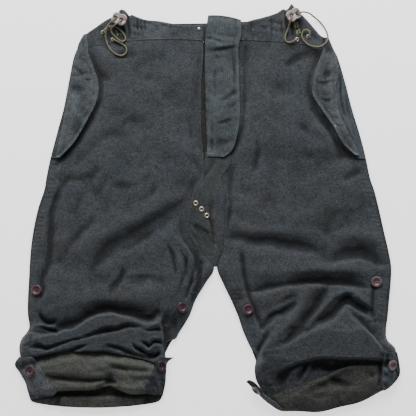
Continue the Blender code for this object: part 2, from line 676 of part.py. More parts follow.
def laid_on(points, below, gap):
    """Lays a grid of points on the objects below it: each mesh triangle is lifted to clear them by gap."""
    surfaces = [surface_of(thing) for thing in below]
    rows, columns, _ = points.shape
    heights = np.full((rows, columns), np.nan)
    for i in range(rows):
        for j in range(columns):
            found = ground_height(surfaces, points[i, j, 0], points[i, j, 1])
            if found is not None:
                heights[i, j] = found + gap
    known = np.argwhere(~np.isnan(heights))
    for i, j in np.argwhere(np.isnan(heights)):
        away = np.linalg.norm(points[known[:, 0], known[:, 1], :2] - points[i, j, :2], axis=1)
        nearest = known[away.argmin()]
        heights[i, j] = heights[nearest[0], nearest[1]] - min(LAY_DROOP * away.min(), LAY_LEAST_DROOP)
    count = LAY_SAMPLES
    shares = [(p / count, q / count) for p in range(count + 1) for q in range(count + 1 - p)]
    for _ in range(LAY_PASSES):
        for i in range(rows - 1):
            for j in range(columns - 1):
                for corners in (((i, j), (i + 1, j), (i + 1, j + 1)), ((i, j), (i + 1, j + 1), (i, j + 1))):
                    short = 0.0
                    for s, t in shares:
                        weights = (1 - s - t, s, t)
                        x, y = sum(w * points[c][:2] for w, c in zip(weights, corners))
                        found = ground_height(surfaces, x, y)
                        if found is not None:
                            height = sum(w * heights[c] for w, c in zip(weights, corners))
                            short = max(short, found + gap - height)
                    for corner in corners:
                        heights[corner] += short
    laid = points.copy()
    laid[:, :, 2] = heights
    return laid


def rows_between(edge_y, top, end):
    """The rows of a panel whose edge lies between two heights up the leg."""
    inside = np.argwhere((edge_y < top) & (edge_y > end))[:, 0]
    return slice(inside[0], inside[-1] + 1)


def edge_x(points, column, y):
    """The x of a panel's edge column at the given heights y up the leg."""
    edge = points[:, column]
    order = np.argsort(edge[:, 1])
    return np.interp(y, edge[order, 1], edge[order, 0])


def waistband_points(stations, seam, name):
    """A waistband from its seam with the front up to its top edge, gathered where the cord draws it up."""
    table = np.array([(s.x, s.top_y, s.level) for s in stations], float)
    x, top_y, level = through(table, np.linspace(0, len(stations) - 1, 4 * (len(stations) - 1) // 2 + 1)).T
    first, last = GATHERS[name]
    extra = np.arange(first, last, GATHER_PITCH / 2)
    places = np.sort(np.concatenate([x[(x < first - 2) | (x > last + 2)], extra]))
    order = np.argsort(x)
    top_y = np.interp(places, x[order], top_y[order])
    level = np.interp(places, x[order], level[order])
    seam_order = np.argsort(seam[:, 0])
    seam_y = np.interp(places, seam[seam_order, 0], seam[seam_order, 1]) + SEAM_GAP
    inside = np.clip((places - first) / 8, 0, 1) * np.clip((last - places) / 8, 0, 1)
    wave = GATHER_HEIGHT * inside * np.sin(2 * math.pi * (places - first) / GATHER_PITCH)
    share = np.linspace(1, 0, 5)[:, None]
    y = seam_y + (top_y - seam_y) * share
    z = level + wave * (0.4 + 0.6 * np.sin(math.pi * share)) - 1.5 * (share > 0.99)
    return np.stack([np.broadcast_to(places, y.shape), y, z], axis=2)


def underlap_points(right_points):
    """The strip of the fly underlap, from the right front's edge to just under the placket."""
    y = np.linspace(UNDERLAP_TOP, UNDERLAP_END, 9)[:, None]
    left = edge_x(right_points, -1, y[:, 0])[:, None] + SEAM_GAP
    share = np.linspace(0, 1, 3)[None, :]
    x = left + (UNDERLAP_RIGHT_X - left) * share
    return np.stack([x, np.broadcast_to(y, x.shape), np.full_like(x, UNDERLAP_Z)], axis=2)


def gusset_points(right_points, left_points):
    """The crotch gusset, between the inner edges of the two fronts."""
    y = np.concatenate([np.linspace(97, 80, 3), np.linspace(66, -96, 12)])
    left = edge_x(right_points, -1, y) + GUSSET_GAP
    right = edge_x(left_points, -1, y) - GUSSET_GAP
    left = np.where(y > 84, np.maximum(left, -4.0), left)
    share = np.linspace(0, 1, 7)[None, :]
    x = left[:, None] + (right - left)[:, None] * share
    fork = np.clip((y + 96) / 60, 0, 1)[:, None]
    z = 2.4 + (5.0 + 1.5 * np.sin(math.pi * share)) * fork
    z = np.maximum(z + fold_heights(x, np.broadcast_to(y[:, None], x.shape), GUSSET_FOLDS), FRONT_RIM_Z)
    return np.stack([x, np.broadcast_to(y[:, None], x.shape), z], axis=2)


def add_core(core, parts):
    """The rounded solid of the hidden turns inside a rolled leg, flat where it lies on the back layer."""
    mesh = bpy.data.meshes.new(core.name)
    cage = bmesh.new()
    bmesh.ops.create_uvsphere(cage, u_segments=20, v_segments=10, radius=1.0)
    low = [v for v in cage.verts if v.co.z < -0.01]
    bmesh.ops.delete(cage, geom=low, context="VERTS")
    rim = [e for e in cage.edges if e.is_boundary]
    bmesh.ops.contextual_create(cage, geom=rim)
    bmesh.ops.transform(
        cage,
        matrix=Matrix.Diagonal((core.half_length * MM, core.half_width * MM, core.height * MM, 1)),
        verts=cage.verts,
    )
    bmesh.ops.recalc_face_normals(cage, faces=cage.faces)
    cage.to_mesh(mesh)
    cage.free()
    solid = bpy.data.objects.new(core.name, mesh)
    parts.objects.link(solid)
    solid.location = (core.x * MM, core.y * MM, FRONT_RIM_Z * MM)
    solid.rotation_euler = (0, 0, math.radians(core.turn))
    mesh.shade_smooth()
    give_material(solid, "olive")


def turned(name, profile, steps, finish, parts, ring=False):
    """A turned piece: its profile runs down the outer side, and Screw carries it round."""
    mesh = bpy.data.meshes.new(name)
    count = len(profile)
    edges = [(k, k + 1) for k in range(count - 1)]
    if ring:
        edges.append((count - 1, 0))
    mesh.from_pydata([(r * MM, 0, z * MM) for r, z in profile], edges, [])
    piece = bpy.data.objects.new(name, mesh)
    parts.objects.link(piece)
    screw = piece.modifiers.new("turn", "SCREW")
    screw.steps = steps
    screw.render_steps = steps
    screw.use_merge_vertices = True
    screw.merge_threshold = 0.00001
    screw.use_smooth_shade = True
    give_material(piece, finish)
    return piece


def seat(piece, place, profile, below):
    """Sets a flat-based piece on what lies below it, tilted with the cloth, clear of its highest point."""
    surfaces = [surface_of(thing) for thing in below]
    base = max(radius for radius, height in profile if height == 0)
    rim, rim_height = max(profile)
    rings = [(share * base, 0.0) for share in SEAT_RINGS] + [(rim, rim_height)]
    spots = []
    for radius, height in rings:
        for k in range(SEAT_SPOKES):
            turn = 2 * math.pi * k / SEAT_SPOKES
            dx, dy = radius * math.cos(turn), radius * math.sin(turn)
            found = ground_height(surfaces, place.x + dx, place.y + dy)
            if found is not None:
                spots.append((dx, dy, found - height))
    spots = np.array(spots)
    flat = np.c_[spots[:, :2], np.ones(len(spots))]
    slope_x, slope_y, _ = np.linalg.lstsq(flat, spots[:, 2], rcond=None)[0]
    normal = Vector((-slope_x, -slope_y, 1)).normalized()
    height = (spots[:, 2] - slope_x * spots[:, 0] - slope_y * spots[:, 1]).max() + LAYER_GAP / normal.z
    piece.location = (place.x * MM, place.y * MM, height * MM)
    piece.rotation_euler = normal.to_track_quat("Z", "Y").to_euler()


def smooth_route(route, step):
    """Evenly spaced points on a smooth curve through a cord's route points."""
    dense = through(np.array(route, float), np.linspace(0, len(route) - 1, 40 * len(route)))
    along = np.concatenate([[0], np.cumsum(np.linalg.norm(np.diff(dense, axis=0), axis=1))])
    at = np.linspace(0, along[-1], int(along[-1] / step) + 1)
    return np.stack([np.interp(at, along, dense[:, k]) for k in range(3)], axis=1)


def add_tube(name, points, radius, collection):
    curve = bpy.data.curves.new(name, "CURVE")
    curve.dimensions = "3D"
    curve.bevel_depth = radius * MM
    curve.bevel_resolution = 2
    curve.use_fill_caps = True
    spline = curve.splines.new("POLY")
    spline.points.add(len(points) - 1)
    for point, place in zip(spline.points, points):
        point.co = (*(place * MM), 1)
    tube = bpy.data.objects.new(name, curve)
    collection.objects.link(tube)
    return tube


def as_closed_mesh(tube, collection):
    """The tube as a mesh with its caps welded on, so that it can cut."""
    bpy.context.view_layer.update()
    mesh = bpy.data.meshes.new_from_object(tube.evaluated_get(bpy.context.evaluated_depsgraph_get()))
    welded = bmesh.new()
    welded.from_mesh(mesh)
    bmesh.ops.remove_doubles(welded, verts=welded.verts, dist=0.000001)
    bmesh.ops.recalc_face_normals(welded, faces=welded.faces)
    welded.to_mesh(mesh)
    welded.free()
    cutter = bpy.data.objects.new(tube.name + "_cutter", mesh)
    cutter.matrix_world = tube.matrix_world
    collection.objects.link(cutter)
    bpy.data.objects.remove(tube, do_unlink=True)
    cutter.hide_render = True
    cutter.display_type = "WIRE"
    return cutter


def add_lock(lock, route, parts, cutters):
    """A two-hole cord lock: an oval block with rounded rims, bored along the cord's own bend."""
    mesh = bpy.data.meshes.new(lock.name)
    block = bmesh.new()
    bmesh.ops.create_cone(block, cap_ends=True, segments=20, radius1=0.5, radius2=0.5, depth=1.0)
    size = Matrix.Diagonal((LOCK_LENGTH * MM, LOCK_WIDTH * MM, LOCK_HEIGHT * MM, 1))
    bmesh.ops.transform(block, matrix=size, verts=block.verts)
    rims = [e for e in block.edges if abs(e.verts[0].co.z - e.verts[1].co.z) < 0.000001]
    bmesh.ops.bevel(block, geom=rims, offset=LOCK_ROUNDING * MM, segments=2, profile=0.6, affect="EDGES")
    block.to_mesh(mesh)
    block.free()
    mesh.shade_smooth()
    mesh.set_sharp_from_angle(angle=math.radians(50))
    piece = bpy.data.objects.new(lock.name, mesh)
    parts.objects.link(piece)
    piece.location = (lock.x * MM, lock.y * MM, (lock.z + LOCK_HEIGHT / 2) * MM)
    piece.rotation_euler = (0, 0, math.radians(lock.turn))
    bore_radius = CORD_DIAMETER / 2 + CORD_CLEARANCE
    bore = add_tube(lock.name + "_bore", smooth_route(route, CORD_STEP), bore_radius, cutters)
    cutter = as_closed_mesh(bore, cutters)
    cut = piece.modifiers.new("cord bore", "BOOLEAN")
    cut.operation = "DIFFERENCE"
    cut.solver = "EXACT"
    cut.object = cutter
    give_material(piece, "lock")
    return piece


def main():
    clear_scene()
    parts = new_collection("wool_trousers")
    cutters = new_collection("cutters")

    add_sheet("right_back", row_points(RIGHT_BACK, 2, 2), "wool", WOOL, parts)
    add_sheet("left_back", row_points(LEFT_BACK, 2, 2), "wool", WOOL, parts)
    add_sheet("back_waistband", row_points(BACK_WAISTBAND, 10, 1), "wool", WOOL, parts)
    hem_points = row_points(RIGHT_TURNUP_BACK, 6, 1)
    right_hem_back = add_sheet("right_turnup_back", hem_points, "olive", WOOL, parts)
    hem_points = row_points(LEFT_TURNUP_BACK, 6, 1)
    left_hem_back = add_sheet("left_turnup_back", hem_points, "olive", WOOL, parts)
    for core in CORES:
        add_core(core, parts)

    right_points = panel_points(RIGHT_FRONT, RIGHT_FOLDS, EDGE_COLUMNS, MIDDLE_COLUMNS)
    left_points = panel_points(LEFT_FRONT, LEFT_FOLDS, EDGE_COLUMNS, MIDDLE_COLUMNS)
    right_front = add_sheet("right_front", right_points, "wool", WOOL, parts)
    left_front = add_sheet("left_front", left_points, "wool", WOOL, parts)
    gusset = add_sheet("crotch_gusset", gusset_points(right_points, left_points), "gusset", WOOL, parts)

    turnup_points = panel_points(
        RIGHT_TURNUP, RIGHT_TURNUP_FOLDS, TURNUP_EDGE_COLUMNS, TURNUP_MIDDLE_COLUMNS
    )
    right_turnup = add_sheet("right_turnup_front", turnup_points, "olive", WOOL, parts)
    turnup_points = panel_points(
        LEFT_TURNUP, LEFT_TURNUP_FOLDS, TURNUP_EDGE_COLUMNS, TURNUP_MIDDLE_COLUMNS
    )
    left_turnup = add_sheet("left_turnup_front", turnup_points, "olive", WOOL, parts)

    waist_points = waistband_points(RIGHT_WAIST, right_points[0], "right_waistband")
    right_waist = add_sheet("right_waistband", waist_points, "wool", WOOL, parts)
    waist_points = waistband_points(LEFT_WAIST, left_points[0], "left_waistband")
    left_waist = add_sheet("left_waistband", waist_points, "wool", WOOL, parts)

    bands = []
    for side, points, front in (("right", right_points, right_front), ("left", left_points, left_front)):
        rows = rows_between(points[:, 0, 1], OUTER_BAND_TOP, OUTER_BAND_END)
        outer = laid_on(points[rows, :BAND_COLUMNS], [front], LAYER_GAP)
        bands.append(add_sheet(side + "_outer_seam", outer, "wool", THIN_CLOTH, parts))
        rows = rows_between(points[:, -1, 1], INSEAM_BAND_TOP, INSEAM_BAND_END)
        inner = laid_on(points[rows, -BAND_COLUMNS:], [front], LAYER_GAP)
        bands.append(add_sheet(side + "_inseam_band", inner, "wool", THIN_CLOTH, parts))

    fronts = [right_front, left_front, gusset, right_waist, left_waist]
    underlap = add_sheet("fly_underlap", underlap_points(right_points), "underlap", THIN_CLOTH, parts)
    placket_points = laid_on(row_points(PLACKET, 5, 2), fronts + [underlap], LAYER_GAP)
    add_sheet("fly_placket", placket_points, "smooth", SMOOTH_CLOTH, parts)
    loop_points = laid_on(row_points(BELT_LOOP, 2, 1), fronts, LAYER_GAP)
    add_sheet("belt_loop", loop_points, "wool", THIN_CLOTH, parts)

    for side, bag_rows, flap_rows, under in (
        ("right", RIGHT_BAG, RIGHT_FLAP, [right_front, right_waist, *bands]),
        ("left", LEFT_BAG, LEFT_FLAP, [left_front, left_waist, *bands]),
    ):
        bag_points = laid_on(row_points(bag_rows, 4, 1), under, LAYER_GAP)
        bag = add_sheet(side + "_pocket_bag", bag_points, "smooth", THIN_CLOTH, parts)
        flap_points = laid_on(row_points(flap_rows, 4, 1), [*under, bag], LAYER_GAP)
        add_sheet(side + "_pocket_flap", flap_points, "smooth", SMOOTH_CLOTH, parts)

    cuffs = [right_front, left_front, right_turnup, left_turnup, right_hem_back, left_hem_back]
    tabs = []
    for name, rows in (
        ("right_outer_tab", RIGHT_OUTER_TAB),
        ("right_inner_tab", RIGHT_INNER_TAB),
        ("left_outer_tab", LEFT_OUTER_TAB),
    ):
        tab_points = laid_on(row_points(rows, 4, 1), cuffs, LAYER_GAP)
        tabs.append(add_sheet(name, tab_points, "smooth", SMOOTH_CLOTH, parts))
    edges = np.array(LEFT_INNER_TAB, float)
    share = np.linspace(0, 1, 4)[None, :, None]
    standing = edges[:, None, :3] + (edges[:, None, 3:] - edges[:, None, :3]) * share
    tabs.append(add_sheet("left_inner_tab", standing, "smooth", SMOOTH_CLOTH, parts))

    for place in BUTTONS:
        button = turned(place.name, BUTTON_PROFILE, 14, "button", parts)
        seat(button, place, BUTTON_PROFILE, cuffs + bands + tabs)
    button = turned(LEFT_INNER_TAB_BUTTON.name, BUTTON_PROFILE, 14, "button", parts)
    seat(button, LEFT_INNER_TAB_BUTTON, BUTTON_PROFILE, tabs)
    stud = turned(WAIST_STUD.name, STUD_PROFILE, 12, "metal", parts)
    seat(stud, WAIST_STUD, STUD_PROFILE, fronts)
    for place in WAIST_EYELETS + CROTCH_EYELETS:
        eyelet = turned(place.name, EYELET_PROFILE, 12, "metal", parts, ring=True)
        seat(eyelet, place, EYELET_PROFILE, fronts)

    for lock, route in zip(LOCKS, (RIGHT_CORD, LEFT_CORD)):
        add_lock(lock, route, parts, cutters)
    for name, route in (("right_drawcord", RIGHT_CORD), ("left_drawcord", LEFT_CORD)):
        cord = add_tube(name, smooth_route(route, CORD_STEP), CORD_DIAMETER / 2, parts)
        give_material(cord, "cord")


main()
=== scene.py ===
# %% [markdown]
# # Wool trousers, laid flat with both legs rolled up
#
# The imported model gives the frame: every piece of cloth, button and cord has its place and its thickness
# there. This lesson builds the visible cloth over it. Each piece is a surface worked out with numpy from
# short tables in millimetres: x to the picture's right, y towards the waist, z up from the surface that the
# trousers lie on. "Right" and "left" are the wearer's, so the right leg is at negative x.

import math

import bpy
import numpy as np
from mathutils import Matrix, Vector


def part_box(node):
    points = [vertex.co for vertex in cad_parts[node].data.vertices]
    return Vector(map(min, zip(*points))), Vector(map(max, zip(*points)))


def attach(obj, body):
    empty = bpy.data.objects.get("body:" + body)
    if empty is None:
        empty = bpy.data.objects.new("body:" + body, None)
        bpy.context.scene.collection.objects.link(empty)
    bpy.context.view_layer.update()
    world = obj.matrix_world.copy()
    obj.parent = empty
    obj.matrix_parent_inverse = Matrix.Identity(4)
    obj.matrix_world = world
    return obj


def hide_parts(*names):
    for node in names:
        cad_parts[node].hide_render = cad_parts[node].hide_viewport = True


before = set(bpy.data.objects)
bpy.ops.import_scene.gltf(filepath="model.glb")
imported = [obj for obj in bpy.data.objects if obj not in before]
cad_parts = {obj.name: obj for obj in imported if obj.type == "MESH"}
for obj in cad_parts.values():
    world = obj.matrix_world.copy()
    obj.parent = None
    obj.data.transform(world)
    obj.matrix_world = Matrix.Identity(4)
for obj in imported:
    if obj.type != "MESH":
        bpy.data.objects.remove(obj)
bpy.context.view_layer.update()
MM = 0.001

# %% [markdown]
# ## The camera
#
# The garment is seen from straight above, as it lies on a table. A long lens high above it keeps the legs
# from leaning outwards. The picture is 0.7072 m wide.

# %% Camera
PICTURE_WIDTH = 0.7072
PICTURE_CENTRE_X = 0.0009
CAMERA_HEIGHT = 4.0
camera_data = bpy.data.cameras.new("camera")
camera_data.lens = camera_data.sensor_width * CAMERA_HEIGHT / PICTURE_WIDTH
camera = bpy.data.objects.new("camera", camera_data)
camera.location = (PICTURE_CENTRE_X, 0, CAMERA_HEIGHT)
bpy.context.scene.collection.objects.link(camera)
bpy.context.scene.camera = camera
print("lens", round(camera_data.lens), "mm")

# %% [markdown]
# ## Helpers for curves and meshes
#
# All the tables are read by one smooth curve that passes through each of their rows, so a few rows are
# enough for an edge without corners. The other helpers measure and turn what comes out of it.

# %% Smooth curves


def through(values, places):
    """A smooth curve through rows of values, one row a whole number: cubic pieces whose slope at each row is
    half the step from the row before it to the row after it."""
    values = np.asarray(values, float)
    last = len(values) - 1
    places = np.clip(np.asarray(places, float), 0, last)
    start = np.minimum(places.astype(int), last - 1)
    t = (places - start)[:, None]
    before, here, there, beyond = (values[np.clip(start + k, 0, last)] for k in (-1, 0, 1, 2))
    slope_in, slope_out, rise = (there - before) / 2, (beyond - here) / 2, there - here
    bend, twist = 3 * rise - 2 * slope_in - slope_out, slope_in + slope_out - 2 * rise
    return here + t * slope_in + t**2 * bend + t**3 * twist


def densely(table, steps):
    """The smooth curve through a table, with this many steps from each row to the next."""
    return through(table, np.linspace(0, len(table) - 1, steps * (len(table) - 1) + 1))


def distances(points):
    """The way along a line of points from its first one."""
    return np.concatenate([[0], np.cumsum(np.linalg.norm(np.diff(points, axis=0), axis=1))])


def picked(along, at, columns):
    """The columns of a table read off at these distances along it."""
    return np.stack([np.interp(at, along, column) for column in columns.T], axis=1)


def evenly(points, step):
    """The same line with its points step apart along it."""
    along = distances(points)
    return picked(along, np.linspace(0, along[-1], max(int(round(along[-1] / step)), 1) + 1), points)


def unit(vectors):
    """Each vector over its own length."""
    return vectors / np.linalg.norm(vectors, axis=-1, keepdims=True)


def turned_by(u, v, degrees):
    """The point u, v turned about the origin."""
    c, s = math.cos(math.radians(degrees)), math.sin(math.radians(degrees))
    return u * c - v * s, u * s + v * c


def circle(sides):
    """The angles of the points once round a ring."""
    return np.linspace(0, 2 * np.pi, sides, endpoint=False)


def smooth_step(t):
    """A rise from 0 to 1 that is level at both ends: 3 t squared less 2 t cubed."""
    t = np.clip(t, 0, 1)
    return t * t * (3 - 2 * t)


def bell(distance, width, power=2):
    """e to the minus (distance over width) to a power."""
    return np.exp(-((distance / width) ** power))


# %% [markdown]
# A mesh is filled with whole arrays, which is much faster than adding vertices one by one. Round pieces
# share one way of closing: rings of points joined by walls, with a fan of triangles to a point at each end.

# %% Meshes


def make_piece(name, points, face_sets, finishes, node=None, uv=None, marks=None, finish_of=None):
    """A mesh object from points in millimetres and arrays of faces. uv holds a pair for each face corner,
    marks holds named values for each point, and finish_of the number of the material of each face."""
    corners = np.concatenate([faces.ravel() for faces in face_sets]).astype(np.int32)
    sizes = np.concatenate([np.full(len(faces), faces.shape[1]) for faces in face_sets])
    mesh = bpy.data.meshes.new(name)
    mesh.vertices.add(len(points))
    mesh.vertices.foreach_set("co", (np.asarray(points, float) * MM).ravel())
    mesh.loops.add(len(corners))
    mesh.loops.foreach_set("vertex_index", corners)
    mesh.polygons.add(len(sizes))
    mesh.polygons.foreach_set("loop_start", (np.cumsum(sizes) - sizes).astype(np.int32))
    mesh.update(calc_edges=True)
    mesh.shade_smooth()
    if uv is not None:
        mesh.uv_layers.new(name="cloth").uv.foreach_set("vector", np.asarray(uv, float).ravel())
    for mark, values in (marks or {}).items():
        stored = mesh.attributes.new(mark, "FLOAT", "POINT").data
        stored.foreach_set("value", np.asarray(values, float).ravel())
    for finish in finishes:
        mesh.materials.append(finish)
    if finish_of is not None:
        mesh.polygons.foreach_set("material_index", np.asarray(finish_of, np.int32))
    piece = bpy.data.objects.new(name, mesh)
    bpy.context.scene.collection.objects.link(piece)
    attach(piece, "root")
    if node:
        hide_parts(node)
    return piece


def ring_form(start, rings, end):
    """The points and faces of a closed form: a start point, rings of points and an end point."""
    sides = rings.shape[1]
    points = np.concatenate([[start], rings.reshape(-1, 3), [end]])
    index = 1 + np.arange(len(rings) * sides).reshape(-1, sides)
    after = np.roll(index, -1, axis=1)
    walls = np.stack([index[:-1], index[1:], after[1:], after[:-1]], axis=2).reshape(-1, 4)
    first = np.stack([np.zeros(sides, int), index[0], after[0]], axis=1)
    last = np.stack([np.full(sides, len(points) - 1), after[-1], index[-1]], axis=1)
    return points, [walls, first, last]


# %% [markdown]
# ## Finishes
#
# Fulled wool is a felted twill spun from fibres of several greys, so it looks mottled from close by and flat
# from afar. Its finish is built from shader nodes, and a small class adds them to one tree: each of its ways
# returns the output of what it added, so the steps read like arithmetic.

# %% Shader helpers


class Shading:
    """Adds nodes to one shader tree. An input is a plain value or the output of another node."""

    def __init__(self, tree):
        self.tree = tree

    def feed(self, value, socket):
        if isinstance(value, bpy.types.NodeSocket):
            self.tree.links.new(value, socket)
        else:
            socket.default_value = value

    def node(self, kind, inputs=None, **settings):
        made = self.tree.nodes.new("ShaderNode" + kind)
        for name, value in settings.items():
            setattr(made, name, value)
        for key, value in (inputs or {}).items():
            self.feed(value, made.inputs[key])
        return made

    def place(self):
        return self.node("TexCoord").outputs["Object"]

    def mark(self, name):
        return self.node("Attribute", attribute_name=name).outputs["Fac"]

    def math(self, operation, *values):
        return self.node("Math", dict(enumerate(values)), operation=operation).outputs[0]

    def mix(self, share, below, above, how="MIX"):
        return self.node("Mix", {0: share, 6: below, 7: above}, data_type="RGBA", blend_type=how).outputs[2]

    def noise(self, where, scale, detail=2.0, roughness=0.6, distortion=0.0):
        inputs = {"Scale": scale, "Detail": detail, "Roughness": roughness, "Distortion": distortion}
        return self.node("TexNoise", {"Vector": where, **inputs}).outputs["Fac"]

    def mapped(self, where, **how):
        return self.node("Mapping", {"Vector": where, **how}).outputs[0]

    def stretch(self, value, low, high, to_low=0.0, to_high=1.0):
        inputs = {"Value": value, "From Min": low, "From Max": high, "To Min": to_low, "To Max": to_high}
        return self.node("MapRange", inputs).outputs["Result"]

    def shaded(self, colour, swing, patches, patch_swing, darkest):
        """The colour times 1 + swing + a swing from the patches, but never below darkest."""
        from_patches = self.stretch(patches, 0.3, 0.7, -patch_swing, patch_swing)
        level = self.math("ADD", self.math("ADD", 1.0, swing), from_patches)
        scale = self.math("MAXIMUM", level, darkest)
        return self.node("VectorMath", {0: colour, "Scale": scale}, operation="SCALE").outputs[0]


def new_group(name, inputs, outputs):
    """A node group: a default for each named input, and the kind of each named output."""
    group = bpy.data.node_groups.new(name, "ShaderNodeTree")
    for label, default in inputs.items():
        kind = "NodeSocketColor" if isinstance(default, tuple) else "NodeSocketFloat"
        group.interface.new_socket(label, in_out="INPUT", socket_type=kind).default_value = default
    for label, kind in outputs.items():
        group.interface.new_socket(label, in_out="OUTPUT", socket_type="NodeSocket" + kind)
    given = group.nodes.new("NodeGroupInput").outputs
    return Shading(group), given, group.nodes.new("NodeGroupOutput").inputs


# %% [markdown]
# The wool group makes the mottle from noise in the object's own coordinates at four sizes, from single
# fibres to worn patches. Two slower noises drift its tint between blue and brown, as in yarn spun from mixed
# fleeces, and pale flecks lie on top. It also gives the height of the nap. The wool, the olive inside, the
# gusset and the underlap all use it with their own colours.

# %% Wool group
# waves a metre
FIBRE, YARN, CLUMP, PATCH = 760, 430, 150, 24
MOTTLE_SWING = 9.5
wool, given, result = new_group(
    "fulled_wool", {"Colour": (0.05, 0.055, 0.06, 1), "Fleck": (0.2, 0.2, 0.17, 1), "Mottle": 0.5},
    {"Colour": "Color", "Height": "Float"},
)
here = wool.place()
fibres = wool.noise(here, FIBRE, 2, 0.75)
yarns = wool.noise(wool.mapped(here, Scale=(0.62, 1.0, 1.0)), YARN, 2, 0.7)
mottle = wool.math("MULTIPLY", fibres, 0.35)
mottle = wool.math("MULTIPLY_ADD", yarns, 0.45, mottle)
mottle = wool.math("MULTIPLY_ADD", wool.noise(here, CLUMP, 2, 0.6), 0.20, mottle)
swing = wool.math("MULTIPLY", wool.math("SUBTRACT", mottle, 0.5), given["Mottle"])
swing = wool.math("MULTIPLY", swing, MOTTLE_SWING)
shade = wool.shaded(given["Colour"], swing, wool.noise(here, PATCH, 3, 0.55), 0.15, 0.2)
drift = wool.stretch(wool.noise(here, 85, 4, 0.8), 0.34, 0.66)
tint = wool.mix(drift, (0.90, 1.0, 1.045, 1), (1.12, 1.0, 0.91, 1))
regions = wool.stretch(wool.noise(here, 17, 2, 0.5), 0.34, 0.66)
tint = wool.mix(1.0, tint, wool.mix(regions, (0.97, 1.0, 1.03, 1), (1.045, 1.0, 0.965, 1)), "MULTIPLY")
warm = wool.stretch(wool.noise(here, 300, 1, 0.5), 0.54, 0.68, 0, 0.35)
tinted = wool.mix(warm, wool.mix(1.0, shade, tint, "MULTIPLY"), (1.4, 1.12, 0.76, 1), "MULTIPLY")
flecks = wool.math("MULTIPLY", wool.stretch(wool.noise(here, 560, 1, 0.5), 0.62, 0.72), 0.42)
wool.feed(wool.mix(flecks, tinted, given["Fleck"]), result["Colour"])
wool.feed(wool.math("ADD", fibres, wool.math("MULTIPLY", yarns, 1.4)), result["Height"])
print("wool group:", len(wool.tree.nodes), "nodes")

# %% [markdown]
# Cloth wears pale where it is rubbed, at its edges. Its crests are painted paler, partly as wear and
# partly as a painted highlight, and its creases are painted darker, as painted shade. Each mesh stores
# both as marks: "relief" is positive on a crest and negative in a crease, and "edge" is 1 at an edge.

# %% Wear, painted shade and painted highlight group
SHADE_AND_WEAR_INPUTS = {
    "Colour": (0.05, 0.055, 0.06, 1), "Worn And Highlight": (0.16, 0.17, 0.17, 1), "Crest Wear And Highlight": 0.12, "Crease Shade": 0.45,
    "Edge": 0.2,
}
shade_and_wear, given, result = new_group("crease_shade_and_wear", SHADE_AND_WEAR_INPUTS, {"Colour": "Color"})
relief = shade_and_wear.mark("relief")
broken = shade_and_wear.stretch(shade_and_wear.noise(shade_and_wear.place(), 260, 2, 0.6), 0.35, 0.65)
# how much painted shade each crease gets
crease_shade_share = shade_and_wear.math("MULTIPLY", shade_and_wear.stretch(relief, 0.0, -1.0), given["Crease Shade"])
# paler crests: partly rubbed wear, partly painted highlight
crest_wear_and_highlight = shade_and_wear.math("MULTIPLY", shade_and_wear.stretch(relief, 0.1, 1.0), given["Crest Wear And Highlight"])
rubbed = shade_and_wear.math("MULTIPLY", shade_and_wear.math("MULTIPLY", shade_and_wear.mark("edge"), broken), given["Edge"])
# painted shade: in the creases the colour is multiplied towards a dark blue-grey
crease_shaded_colour = shade_and_wear.mix(crease_shade_share, given["Colour"], (0.16, 0.17, 0.19, 1), "MULTIPLY")
shade_and_wear.feed(shade_and_wear.mix(shade_and_wear.math("ADD", crest_wear_and_highlight, rubbed), crease_shaded_colour, given["Worn And Highlight"]), result["Colour"])
print("wear group:", len(shade_and_wear.tree.nodes), "nodes")

# %% [markdown]
# The placket, flaps, bags and tabs are of a finer, plain-woven cloth. Its group stretches noise along both
# threads on the cloth's own map, so that the weave follows each piece as it was cut.

# %% Weave group
weave, given, result = new_group(
    "fine_weave", {"Colour": (0.08, 0.09, 0.1, 1), "Swing": 0.25}, {"Colour": "Color", "Height": "Float"}
)
on_cloth = weave.node("UVMap", uv_map="cloth").outputs["UV"]


def along_threads(across, along, detail=2):
    """Noise on the cloth's own map, with so many waves a metre across and along."""
    return weave.noise(weave.mapped(on_cloth, Scale=(across, along, 1)), 1.0, detail, 0.65)


threads = weave.math("ADD", along_threads(700, 90), along_threads(90, 700))
swing = weave.math("ADD", weave.math("SUBTRACT", threads, 1.5), along_threads(600, 700))
swing = weave.math("MULTIPLY", weave.math("MULTIPLY", swing, given["Swing"]), 2.9)
shade = weave.shaded(given["Colour"], swing, along_threads(40, 40, 4), 0.12, 0.25)
drift = weave.stretch(along_threads(95, 60, 3), 0.36, 0.64)
tint = weave.mix(drift, (0.93, 1.0, 1.03, 1), (1.08, 1.0, 0.96, 1))
weave.feed(weave.mix(1.0, shade, tint, "MULTIPLY"), result["Colour"])
weave.feed(threads, result["Height"])
print("weave group:", len(weave.tree.nodes), "nodes")

# %% [markdown]
# The materials themselves are short: a group for the cloth, a group for its wear and its painted shade and
# highlight, a bump for its nap, and one Principled shader. Wool scatters light from its loose fibres, so it
# has a little sheen and no gloss.

# %% Materials


def new_material(name, roughness, sheen=0.0, **settings):
    """A material with its shading and its Principled shader."""
    material = bpy.data.materials.new(name)
    material.use_nodes = True
    shader = material.node_tree.nodes["Principled BSDF"]
    values = {"Roughness": roughness, "Sheen_Weight": sheen, "Sheen_Roughness": 0.6, **settings}
    for key, value in values.items():
        shader.inputs[key.replace("_", " ")].default_value = value
    return material, Shading(material.node_tree), shader


def bumped(shading, shader, height, strength, distance):
    """Roughens a shader's light with a bump of this height."""
    bump = shading.node("Bump", {"Height": height, "Strength": strength, "Distance": distance})
    shading.feed(bump.outputs["Normal"], shader.inputs["Normal"])


